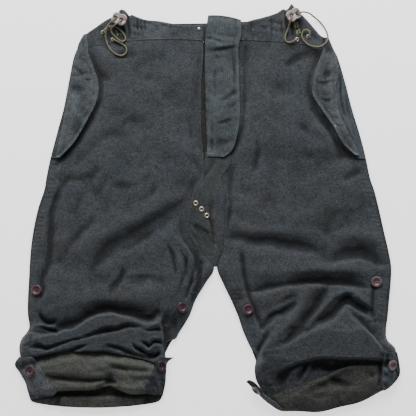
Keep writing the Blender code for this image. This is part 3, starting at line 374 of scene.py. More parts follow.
def cloth_material(name, group, given, wear_and_painted_light, nap, roughness, sheen, specular):
    """Cloth from one of the groups with its given values, then worn pale at its edges, painted paler on its
    crests, partly as wear and partly as a painted highlight, and painted darker in its creases, as painted
    shade. nap is the bump's strength and distance."""
    material, shading, shader = new_material(name, roughness, sheen, Specular_IOR_Level=specular)
    cloth = shading.node("Group", given, node_tree=group.tree)
    worn_and_shaded_cloth = shading.node("Group", {"Colour": cloth.outputs["Colour"], **wear_and_painted_light}, node_tree=shade_and_wear.tree)
    shading.feed(worn_and_shaded_cloth.outputs["Colour"], shader.inputs["Base Color"])
    bumped(shading, shader, cloth.outputs["Height"], *nap)
    return material


def wool_material(name, colour, fleck, wear_and_painted_light, mottle=0.5, crest_wear_and_highlight=0.12, crease_shade=0.45, edge=0.15):
    """Fulled wool in this colour, with flecks, and a colour for wear and for the painted highlight on crests.
    """
    given = {"Colour": (*colour, 1), "Fleck": (*fleck, 1), "Mottle": mottle}
    wear_and_painted_light_inputs = {"Worn And Highlight": (*wear_and_painted_light, 1), "Crest Wear And Highlight": crest_wear_and_highlight, "Crease Shade": crease_shade, "Edge": edge}
    return cloth_material(name, wool, given, wear_and_painted_light_inputs, (0.6, 0.0006), 0.95, 0.12, 0.25)


def smooth_material(name, colour, wear_and_painted_light, swing=0.22, crease_shade=0.4, edge=0.45):
    """Finely woven cloth in this colour, with a colour for wear and for the painted highlight on crests."""
    given = {"Colour": (*colour, 1), "Swing": swing}
    wear_and_painted_light_inputs = {"Worn And Highlight": (*wear_and_painted_light, 1), "Crest Wear And Highlight": 0.15, "Crease Shade": crease_shade, "Edge": edge}
    return cloth_material(name, weave, given, wear_and_painted_light_inputs, (0.5, 0.0003), 0.88, 0.06, 0.3)


def clouded(name, roughness, one, other, grain, span=None, sheen=0.0, **settings):
    """A material whose colour drifts from one to the other with noise of this grain, stretched over span. It
    comes with its shading, its shader and the noise."""
    material, shading, shader = new_material(name, roughness, sheen, **settings)
    clouds = shading.noise(shading.place(), *grain)
    share = shading.stretch(clouds, *span) if span else clouds
    shading.feed(shading.mix(share, (*one, 1), (*other, 1)), shader.inputs["Base Color"])
    return material, shading, shader, clouds


# name, colour, flecks, colour of wear and of the painted highlight on crests
WOOL = wool_material("grey_blue_wool", (0.0385, 0.0450, 0.0535), (0.15, 0.16, 0.155), (0.09, 0.098, 0.102),
                     crest_wear_and_highlight=0.06, crease_shade=0.8)
OLIVE = wool_material("olive_wool", (0.067, 0.073, 0.066), (0.20, 0.19, 0.13), (0.13, 0.13, 0.11),
                      crease_shade=0.85)
# the olive wool painted darker, as painted shade, for the back turn-ups and the left turn-up
PAINTED_SHADE_OLIVE = wool_material("shaded_olive_wool", (0.037, 0.041, 0.040), (0.16, 0.15, 0.09),
                           (0.08, 0.08, 0.065), 0.65, crease_shade=0.85)
GUSSET = wool_material("gusset_cloth", (0.0375, 0.0445, 0.047), (0.11, 0.115, 0.105), (0.075, 0.08, 0.075),
                       0.45, crease_shade=0.8, edge=0.0)
# partly the underlap's own dark brown, partly painted shade from the placket beside it
UNDERLAP = wool_material("underlap_cloth", (0.017, 0.016, 0.013), (0.09, 0.08, 0.05), (0.06, 0.055, 0.045),
                         0.6)
# name, colour, colour of wear and painted highlight, swing of the threads, painted shade in creases, edge
# wear
PLACKET = smooth_material("placket_cloth", (0.049, 0.060, 0.066), (0.13, 0.15, 0.155), 0.7, 0.75, 0.35)
FLAP = smooth_material("flap_cloth", (0.053, 0.061, 0.068), (0.16, 0.175, 0.185), 0.75, 0.75, 0.55)
BAG = smooth_material("pocket_bag_cloth", (0.043, 0.053, 0.062), (0.13, 0.15, 0.16), 0.65, 0.8)
# one tab cloth three times over: painted paler as painted light, and darker as painted shade
TAB = smooth_material("tab_cloth", (0.086, 0.093, 0.104), (0.16, 0.17, 0.18), 0.9, 0.8, 0.4)
HALF_SHADE_TAB = smooth_material("half_shaded_tab_cloth", (0.039, 0.049, 0.059), (0.14, 0.15, 0.16), 0.8, 0.9, 0.3)
SHADED_TAB = smooth_material("shaded_tab_cloth", (0.020, 0.026, 0.034), (0.10, 0.11, 0.12), 0.75, 0.8, 0.5)
CASING = smooth_material("waist_casing", (0.054, 0.060, 0.067), (0.12, 0.13, 0.135), 0.6, 0.7)

# %% [markdown]
# ## The drawcords
#
# Each waist cord leaves one eyelet, runs through the two holes of its lock and goes back into the next
# eyelet. Its route is a table of points: x, y and z in metres.

# %% Cord routes
RIGHT_ROUTE = [
    (-0.1605, 0.286, 0.0115), (-0.1565, 0.2845, 0.0132), (-0.151, 0.2815, 0.0125), (-0.1435, 0.2772, 0.0115),
    (-0.138, 0.2715, 0.0112), (-0.138, 0.2638, 0.0112), (-0.1445, 0.2588, 0.0112), (-0.1535, 0.2602, 0.0112),
    (-0.1635, 0.2675, 0.0114), (-0.1705, 0.28, 0.0118), (-0.1725, 0.2945, 0.015), (-0.169, 0.307, 0.021),
    (-0.1625, 0.3148, 0.0263), (-0.1576, 0.3195, 0.0256), (-0.156, 0.321, 0.0218), (-0.1545, 0.3206, 0.0174),
    (-0.151, 0.3195, 0.0156), (-0.1475, 0.3184, 0.0174), (-0.146, 0.318, 0.0218), (-0.1473, 0.3164, 0.0258),
    (-0.1512, 0.3128, 0.0264), (-0.158, 0.3085, 0.0215), (-0.1628, 0.3032, 0.0172),
    (-0.1624, 0.2972, 0.0148), (-0.1565, 0.2905, 0.0136), (-0.1495, 0.2845, 0.0136),
    (-0.1435, 0.2822, 0.0126), (-0.139, 0.2862, 0.0118), (-0.1405, 0.2925, 0.0116),
    (-0.1465, 0.3005, 0.0114), (-0.1545, 0.3065, 0.0118), (-0.1635, 0.3078, 0.0138),
    (-0.1705, 0.3052, 0.0158), (-0.1752, 0.3008, 0.0158), (-0.1772, 0.2985, 0.0128),
    (-0.1775, 0.298, 0.0105),
]
LEFT_ROUTE = [
    (0.152, 0.286, 0.0115), (0.1475, 0.284, 0.0132), (0.1412, 0.281, 0.0122), (0.1352, 0.2812, 0.0116),
    (0.1318, 0.2862, 0.0114), (0.1328, 0.294, 0.0118), (0.1365, 0.304, 0.0145), (0.1395, 0.3125, 0.0212),
    (0.1408, 0.3175, 0.0256), (0.1413, 0.3213, 0.0269), (0.1418, 0.3247, 0.0253), (0.142, 0.326, 0.0218),
    (0.1435, 0.3264, 0.0174), (0.147, 0.3275, 0.0156), (0.1505, 0.3286, 0.0174), (0.152, 0.329, 0.0218),
    (0.1536, 0.3295, 0.0254), (0.1577, 0.3305, 0.0266), (0.164, 0.3313, 0.0222), (0.1725, 0.3298, 0.0142),
    (0.182, 0.3235, 0.0065), (0.192, 0.315, 0.0022), (0.2, 0.304, 0.0032), (0.204, 0.292, 0.0092),
    (0.202, 0.282, 0.0125), (0.195, 0.2755, 0.0124), (0.1855, 0.2732, 0.0118), (0.174, 0.2755, 0.0114),
    (0.1648, 0.2822, 0.0116), (0.1603, 0.2905, 0.0118), (0.1612, 0.2982, 0.0124), (0.1667, 0.3022, 0.0142),
    (0.1722, 0.2995, 0.016), (0.1734, 0.2945, 0.0152), (0.1715, 0.2916, 0.0125), (0.171, 0.291, 0.0105),
]
CORD_DIAMETER = 0.0028

# %% [markdown]
# A circle carried along the smooth curve through the route makes the cord: a ring's points are the centre
# plus the radius times the cosine and sine of the turn, along two directions square to the path. A curve
# object with a bevel would do as well, but the rings also give a map, on which the braid is drawn: slanted
# waves both ways, one turn round and the cord's length along.

# %% Cords
CORD_SIDES = 14
CORD_STEP = 0.9
BRAID_TURN = math.radians(35)
BRAID_REPEATS = 6.0

cord_material, shading, shader = new_material("khaki_cord", 0.8, 0.1)
on_cord = shading.node("UVMap", uv_map="cloth").outputs["UV"]
strands = []
for turn in (BRAID_TURN, -BRAID_TURN):
    slanted = {"Vector": shading.mapped(on_cord, Rotation=(0, 0, turn)), "Scale": 1.1}
    strands.append(shading.node("TexWave", slanted, wave_profile="SIN").outputs["Fac"])
braid = shading.math("MAXIMUM", *strands)
khaki = shading.mix(braid, (0.085, 0.078, 0.044, 1), (0.25, 0.234, 0.14, 1))
shading.feed(khaki, shader.inputs["Base Color"])
bumped(shading, shader, braid, 0.8, 0.0004)


def tube(name, path, radius, sides, finish, node):
    """A cord's surface: path plus radius times (cosine of the turn along one square direction + sine of it
    along the other), with a rounded end at each end of the path."""
    run = unit(np.gradient(path, axis=0))
    side = unit(np.cross(run, (0, 0, 1.0)))
    up = np.cross(side, run)
    angle = circle(sides)[None, :, None]
    rings = path[:, None] + radius * (np.cos(angle) * side[:, None] + np.sin(angle) * up[:, None])
    points, faces = ring_form(path[0] - run[0] * radius * 0.5, rings, path[-1] + run[-1] * radius * 0.5)
    u, v = np.meshgrid(distances(path), np.arange(sides) / sides, indexing="ij")
    low, high = np.stack([u, v], axis=2), np.stack([u, v + 1 / sides], axis=2)
    wall_uv = np.stack([low[:-1], low[1:], high[1:], high[:-1]], axis=2).reshape(-1, 2)
    uv = np.concatenate([wall_uv, np.zeros((6 * sides, 2))]) * (1.0, BRAID_REPEATS)
    return make_piece(name, points, faces, [finish], node, uv)


for side_name, route in (("right", RIGHT_ROUTE), ("left", LEFT_ROUTE)):
    dense = through(route, np.linspace(0, len(route) - 1, 60 * len(route)))
    path = evenly(dense / MM, CORD_STEP)
    cord = tube(side_name + "_waist_cord", path, CORD_DIAMETER / MM / 2, CORD_SIDES, cord_material,
                side_name + "_drawcord")

# %% [markdown]
# ## The lie of the cloth
#
# A fold is a smooth line drawn on the cloth, with a height at each of its points: below zero it is a trough,
# above zero a ridge. Across the line the height falls off as a bell, e to the minus (distance over width) to
# a power, and the bell may be narrow on one side and wide on the other, because a heavy cloth drops steeply
# from a lip and climbs out of the trough slowly. The line is bent by uneven waves first, so that no crease
# is a perfect curve. The same waves, much lower, give the slack cloth its small dents.

# %% Folds and uneven waves
LATTICE = 61
# how many of its widths away from its line a fold is still worked out
FOLD_REACH = 2.99


def uneven(x, y, size, seed, across=None, turn=0.0):
    """Uneven waves from about -1 to 1: random numbers on a lattice joined by smooth steps. size is the
    length of a wave, across its length the other way when it isn't the same, and turn the direction of the
    first in degrees."""
    lattice = np.random.default_rng(seed).uniform(-1, 1, (LATTICE, LATTICE))
    u, v = turned_by(x, y, -turn)
    u, v = u / size + 500.3, v / (across or size) + 500.7
    column, row = np.floor(u).astype(int), np.floor(v).astype(int)
    fu, fv = (t**3 * (t * (6 * t - 15) + 10) for t in (u - column, v - row))
    a, b, c, d = (lattice[(row + r) % LATTICE, (column + k) % LATTICE] for r in (0, 1) for k in (0, 1))
    return (a + (b - a) * fu) * (1 - fv) + (c + (d - c) * fu) * fv


def fold_heights(x, y, folds, sway=1.2):
    """The sum of the folds at each point. A fold is its width to the left of its line, its width to the
    right, the power of its bell, and the points of its line: x, y and height. Only the points near a line
    are worked out."""
    swayed_x = x + sway * uneven(x, y, 30, 11) + 0.5 * sway * uneven(x, y, 10, 12)
    swayed_y = y + sway * uneven(x, y, 30, 13) + 0.5 * sway * uneven(x, y, 10, 14)
    total = np.zeros_like(x)
    for left, right, power, points in folds:
        line = densely(points, 10)
        run = unit(np.gradient(line[:, :2], axis=0))
        reach = FOLD_REACH * max(left, right) + 6
        near = np.ones(x.shape, bool)
        for swayed, on_line in ((swayed_x, line[:, 0]), (swayed_y, line[:, 1])):
            near &= np.abs(swayed - on_line.mean()) < np.ptp(on_line) / 2 + reach
        if not near.any():
            continue
        gap_x = swayed_x[near][:, None] - line[:, 0]
        gap_y = swayed_y[near][:, None] - line[:, 1]
        away = gap_x**2 + gap_y**2
        closest = away.argmin(axis=1)
        pick = np.arange(len(closest))
        side = gap_y[pick, closest] * run[closest, 0] - gap_x[pick, closest] * run[closest, 1]
        width = np.where(side > 0, left, right)
        total[near] += line[closest, 2] * bell(np.sqrt(away[pick, closest]), width, power)
    return total


# %% [markdown]
# ## Grids of cloth
#
# Every piece of cloth is a grid of points, its rows down the garment and its columns across. A few measures
# of such a grid serve all the pieces: the way from each of its edges, the direction square to it, and the
# mean of the heights round a point.

# %% Grids


def grid_faces(rows, columns, offset=0):
    """The faces between the points of a grid."""
    index = offset + np.arange(rows * columns).reshape(rows, columns)
    return np.stack([index[:-1, :-1], index[1:, :-1], index[1:, 1:], index[:-1, 1:]], axis=2).reshape(-1, 4)


def border(rows, columns):
    """The points once round the edge of a grid."""
    index = np.arange(rows * columns).reshape(rows, columns)
    return np.concatenate([index[0, :-1], index[:-1, -1], index[-1, :0:-1], index[:0:-1, 0]])


def averaged(values, reach):
    """Each value replaced by the mean of its neighbours up to reach rows and columns away."""
    for axis in (0, 1):
        padded = np.pad(values, [(reach + 1, reach) if k == axis else (0, 0) for k in (0, 1)], mode="edge")
        sums = np.cumsum(padded, axis=axis)
        count, span = values.shape[axis], 2 * reach + 1
        high = np.take(sums, np.arange(span, span + count), axis=axis)
        values = (high - np.take(sums, np.arange(count), axis=axis)) / span
    return values


def run_lengths(grid, axis):
    """The way along each column (axis 0) or row (axis 1) of a grid from its first point."""
    steps = np.linalg.norm(np.diff(grid, axis=axis), axis=2)
    zero = np.zeros_like(np.take(steps, [0], axis=axis))
    return np.concatenate([zero, np.cumsum(steps, axis=axis)], axis=axis)


def from_edges(grid):
    """The way from each edge of a grid to its points: top (first row), bottom, left (first column) and
    right."""
    down, across = run_lengths(grid, 0), run_lengths(grid, 1)
    return {"t": down, "b": down[-1:] - down, "l": across, "r": across[:, -1:] - across}


def normals_of(grid):
    """The direction square to a grid of points, upwards."""
    normal = np.cross(np.gradient(grid, axis=1), np.gradient(grid, axis=0))
    normal = normal / np.maximum(np.linalg.norm(normal, axis=2)[..., None], 1e-9)
    return normal if normal[..., 2].mean() > 0 else -normal


# %% [markdown]
# ## Laying one piece on another
#
# A map of heights keeps the top of everything that has been laid so far. A new piece rests on that map, but
# cloth can't drop straight down over an edge: the map is first widened so that it falls away from each high
# place with a limited slope, then softened.

# %% Ground map
CELL = 1.5
HALF = 366.0
SIDE = int(2 * HALF / CELL) + 1
# cells round a piece that are draped with it, and how many cells far a height is spread
MARGIN = 24
WIDENINGS = 26
ground = np.zeros((SIDE, SIDE))


def press_on(points):
    """Raises the map to the top of a piece."""
    column, row = (np.floor((points[..., k] + HALF) / CELL).astype(int).ravel() for k in (0, 1))
    for r in (0, 1):
        for c in (0, 1):
            np.maximum.at(ground, (row + r, column + c), points[..., 2].ravel())


def read_map(heights, x, y):
    """The map's height between its cells, from the four round each point."""
    u, v = (x + HALF) / CELL, (y + HALF) / CELL
    column, row = np.floor(u).astype(int), np.floor(v).astype(int)
    fu, fv = u - column, v - row
    low = heights[row, column] * (1 - fu) + heights[row, column + 1] * fu
    high = heights[row + 1, column] * (1 - fu) + heights[row + 1, column + 1] * fu
    return low * (1 - fv) + high * fv


def draped_map(x, y, slope, soften=2):
    """The map near a piece, widened so that it falls no faster than slope, and softened."""
    first_row, first_column = (max(int((at.min() + HALF) / CELL) - MARGIN, 0) for at in (y, x))
    last_row, last_column = (min(int((at.max() + HALF) / CELL) + MARGIN, SIDE) for at in (y, x))
    near = slice(first_row, last_row), slice(first_column, last_column)
    hard = part = ground[near]
    for _ in range(WIDENINGS):
        wide = np.pad(part, 1, mode="edge")
        for dr in (-1, 0, 1):
            for dc in (-1, 0, 1):
                moved = wide[1 + dr:wide.shape[0] - 1 + dr, 1 + dc:wide.shape[1] - 1 + dc]
                part = np.maximum(part, moved - slope * CELL * math.hypot(dr, dc))
    result = ground.copy()
    result[near] = averaged(np.maximum(averaged(part, soften), hard), 1)
    return result


def laid_on(points, thickness, slope=0.45, gap=0.25, soften=2):
    """The upper face of a piece that lies on what is already there."""
    laid = points.copy()
    drape = draped_map(points[..., 0], points[..., 1], slope, soften)
    laid[..., 2] = read_map(drape, points[..., 0], points[..., 1]) + gap + thickness
    return laid


# %% [markdown]
# ## Cloth with a thickness
#
# A piece of cloth is a grid of points for its upper face. The lower face is the same grid, one thickness
# down (more where the cloth is steep, so that the wall keeps its thickness), and a strip of faces joins the
# two round the edge. Turned edges are rounded by letting the upper face drop over its last millimetre. The
# height of each point above the average round it is stored as the mark "relief", for the finish's painted
# shade in creases and paler crests, and nearness to an edge as "edge". A piece may carry a patch of a second
# finish, where its other side or another cloth shows.

# %% Cloth
EDGE_RUN = 1.6
EDGE_FADE = 2.5
RELIEF_REACH = 4
# how many thicknesses a steep wall may measure upright
STEEPEST = 2.2
# the least share of its rectangle that a narrowing piece is declared to fill
LEAST_SHARE = 0.31
tops = {}


def shell_of(top, thickness, near_edge, edge_drop, flat_base):
    """The two faces of a cloth: its upper one, dropped round the edge along a quarter of a circle, and a
    lower."""
    lower = top.copy()
    lower[..., 2] -= thickness * np.clip(1 / np.maximum(normals_of(top)[..., 2], 0.1), 1, STEEPEST)
    lower[..., 2] = 0.0 if flat_base else np.maximum(lower[..., 2], 0.0)
    upper = top.copy()
    round_off = 1 - np.clip(near_edge / EDGE_RUN, 0, 1)
    upper[..., 2] -= edge_drop * (1 - np.sqrt(1 - round_off**2))
    return upper, lower


def relief_of(heights, height):
    """How far each point stands above the mean near it and above the mean farther round it, from -1 to 1."""
    relief = (heights - averaged(heights, RELIEF_REACH)) / height
    relief += (heights - averaged(heights, 3 * RELIEF_REACH)) / (3 * height)
    return np.clip(averaged(relief, 1), -1, 1)


def add_cloth(name, top, thickness, finish, node, edge_drop=0.6, bottom=None,
              relief_height=1.5, flat_base=False, free_edges="tblr", patch=None, pressed=None):
    """A closed piece of cloth from its upper face, laid on the map. The size of its flat cut is worked out
    and printed. free_edges names the edges that aren't sewn to a neighbour. patch is another finish and the
    rule for where it shows on the upper side. pressed is a finer grid of the same face for the map."""
    press_on(top if pressed is None else pressed)
    rows, columns, _ = top.shape
    ways = from_edges(top)
    across, down = ways["l"], ways["t"]
    near_edge = np.minimum.reduce([ways[edge] for edge in free_edges])
    normal = normals_of(top)[rows // 2, columns // 2]
    if bottom is None:
        top, bottom = shell_of(top, thickness, near_edge, edge_drop, flat_base)
    count = rows * columns
    upper, lower = grid_faces(rows, columns), grid_faces(rows, columns, count)[:, ::-1]
    rim = border(rows, columns)
    after = np.roll(rim, -1)
    faces = np.concatenate([upper, lower, np.stack([after, rim, rim + count, after + count], axis=1)])
    down_step, across_step = (np.gradient(top, axis=k)[rows // 2, columns // 2] for k in (0, 1))
    if np.dot(np.cross(down_step, across_step), normal) < 0:
        faces = faces[:, ::-1]
    uv = np.tile(np.stack([across, down], axis=2).reshape(-1, 2) * MM, (2, 1))[faces.ravel()]
    marks = {"relief": relief_of(top[..., 2], relief_height), "edge": np.exp(-near_edge / EDGE_FADE)}
    marks = {mark: np.tile(values.ravel(), 2) for mark, values in marks.items()}
    finishes, finish_of = [finish], None
    if patch:
        finishes.append(patch[0])
        finish_of = np.zeros(len(faces), int)
        finish_of[:len(upper)] = patch[1](top[:-1, :-1, 0], top[:-1, :-1, 1]).ravel()
    points = np.concatenate([top.reshape(-1, 3), bottom.reshape(-1, 3)])
    piece = make_piece(name, points, [faces], finishes, node, uv, marks, finish_of)
    flat = tuple(round(max(float(size) * MM, 0.01), 3) for size in (across[:, -1].max(), down[-1].max()))
    cell = np.linalg.norm(np.cross(top[1:, :-1] - top[:-1, :-1], top[:-1, 1:] - top[:-1, :-1]), axis=2)
    area = min(float(cell.sum() * MM**2), flat[0] * flat[1])
    area = round(max(area, LEAST_SHARE * flat[0] * flat[1]), 5)
    tops[name] = top
    print(f"{name}: {2 * len(faces)} triangles, cut {flat} m, top {top[..., 2].max():.1f} mm")


# %% [markdown]
# ## Fronts of the legs
#
# A front is cut in one piece from the waist seam to the rolled part of the leg. Its table has a row for each
# cross-section, from the outer seam to the inner edge. Between them the height rises from the rim as one
# minus e to the minus distance from the edge over the reach, so the cloth bulges like a soft tube, and the
# folds are added.

# %% Tables of the fronts
# outer x, outer y, inner x, inner y, bow, level, outer z, inner z, reach
RIGHT_FRONT = [
    (-221.5, 270, -7, 284, 8, 6.5, 2.1, 6.0, 10), (-228, 252, -7.5, 252, 0, 8.0, 2.1, 5.5, 10),
    (-236, 211, -10.5, 211, 0, 9.0, 2.1, 3.6, 12), (-244, 170, -10.5, 170, 0, 9.5, 2.1, 3.2, 12),
    (-255, 129, -10.5, 129, 0, 9.5, 2.1, 3.4, 12), (-266, 87, -6, 82, 0, 9.0, 2.1, 6.0, 12),
    (-273, 54, -6, 53, 0, 8.5, 2.1, 6.5, 12), (-277, 31, -20, 31, 0, 9.0, 2.1, 6.0, 12),
    (-288, -3, -27, -3, 0, 9.5, 2.1, 4.5, 12), (-296, -41, -31, -42, 0, 10.0, 2.1, 3.5, 12),
    (-300, -71, -14, -71, 0, 10.5, 2.1, 2.8, 12), (-302, -100, 11, -100, 0, 11.0, 2.1, 2.1, 12),
    (-303.5, -129, -4, -129, 4, 13.0, 2.1, 2.1, 12), (-305, -156, -20, -156, 10, 16.5, 2.1, 2.1, 14),
    (-305, -180, -31, -184, 26, 17.0, 2.1, 2.1, 16), (-303, -204, -47.5, -211, 40, 14.5, 2.1, 2.1, 12),
    (-315, -221, -54, -222, 33, 14.0, 4.0, 3.0, 12), (-319, -233, -69, -228.5, 27, 17.0, 6.0, 4.0, 12),
    (-319, -243, -71.5, -247, 26, 20.0, 7.0, 6.0, 12), (-317, -253, -70.5, -261, 22, 20.0, 7.5, 7.0, 12),
    (-313.5, -259, -72, -268, 21, 17.5, 7.5, 7.0, 12),
]
LEFT_FRONT = [
    (214, 270, 2.5, 284, 6, 6.5, 2.1, 6.0, 10), (222.5, 252, 2.5, 252, 0, 7.0, 2.1, 5.5, 10),
    (234.5, 211, 2.5, 211, 0, 9.0, 2.1, 5.5, 12), (245, 170, 2.5, 170, 0, 9.5, 2.1, 5.5, 12),
    (257.5, 129, 3.5, 129, 0, 9.5, 2.1, 5.5, 12), (265, 102, 19.5, 102, 0, 9.0, 2.1, 5.5, 12),
    (269.5, 82, 41, 82, 0, 8.0, 2.1, 6.0, 12), (276, 51, 24, 51, 0, 8.5, 2.1, 6.5, 12),
    (284, 27, 30, 27, 0, 9.0, 2.1, 7.0, 12), (291.5, -3, 30, -3, 0, 9.5, 2.1, 7.5, 12),
    (300, -41, 28, -41, 0, 10.0, 2.1, 6.5, 12), (307, -71, 25.5, -71, 0, 10.5, 2.1, 4.5, 12),
    (312, -100, 16, -100, 0, 11.5, 2.1, 2.1, 12), (311, -129, 27, -129, 0, 12.0, 2.1, 2.1, 12),
    (308.5, -156, 40, -156, 0, 13.0, 2.1, 2.1, 12), (306, -184, 52, -184, 0, 15.0, 2.1, 2.1, 12),
    (303.5, -206, 60, -208, 4, 18.0, 2.1, 2.1, 12), (305, -223, 72.5, -236, 12, 20.0, 4.0, 3.0, 12),
    (318, -237, 82.5, -253, 14, 17.0, 7.0, 4.0, 12), (320, -249, 80, -272, 13, 13.0, 8.0, 6.0, 12),
    (319, -255.5, 82, -290, 15, 11.0, 6.0, 4.0, 12), (318, -261, 89, -305, 14, 8.0, 3.4, 3.0, 12),
    (317, -267, 99.6, -324.6, 6, 6.5, 2.6, 2.6, 12),
]

# %% [markdown]
# The folds could be simulated, but a simulation never falls into the creases of one photograph. So each
# crease is drawn as a line on the cloth, the troughs first and the ridges that they push up beside
# them.

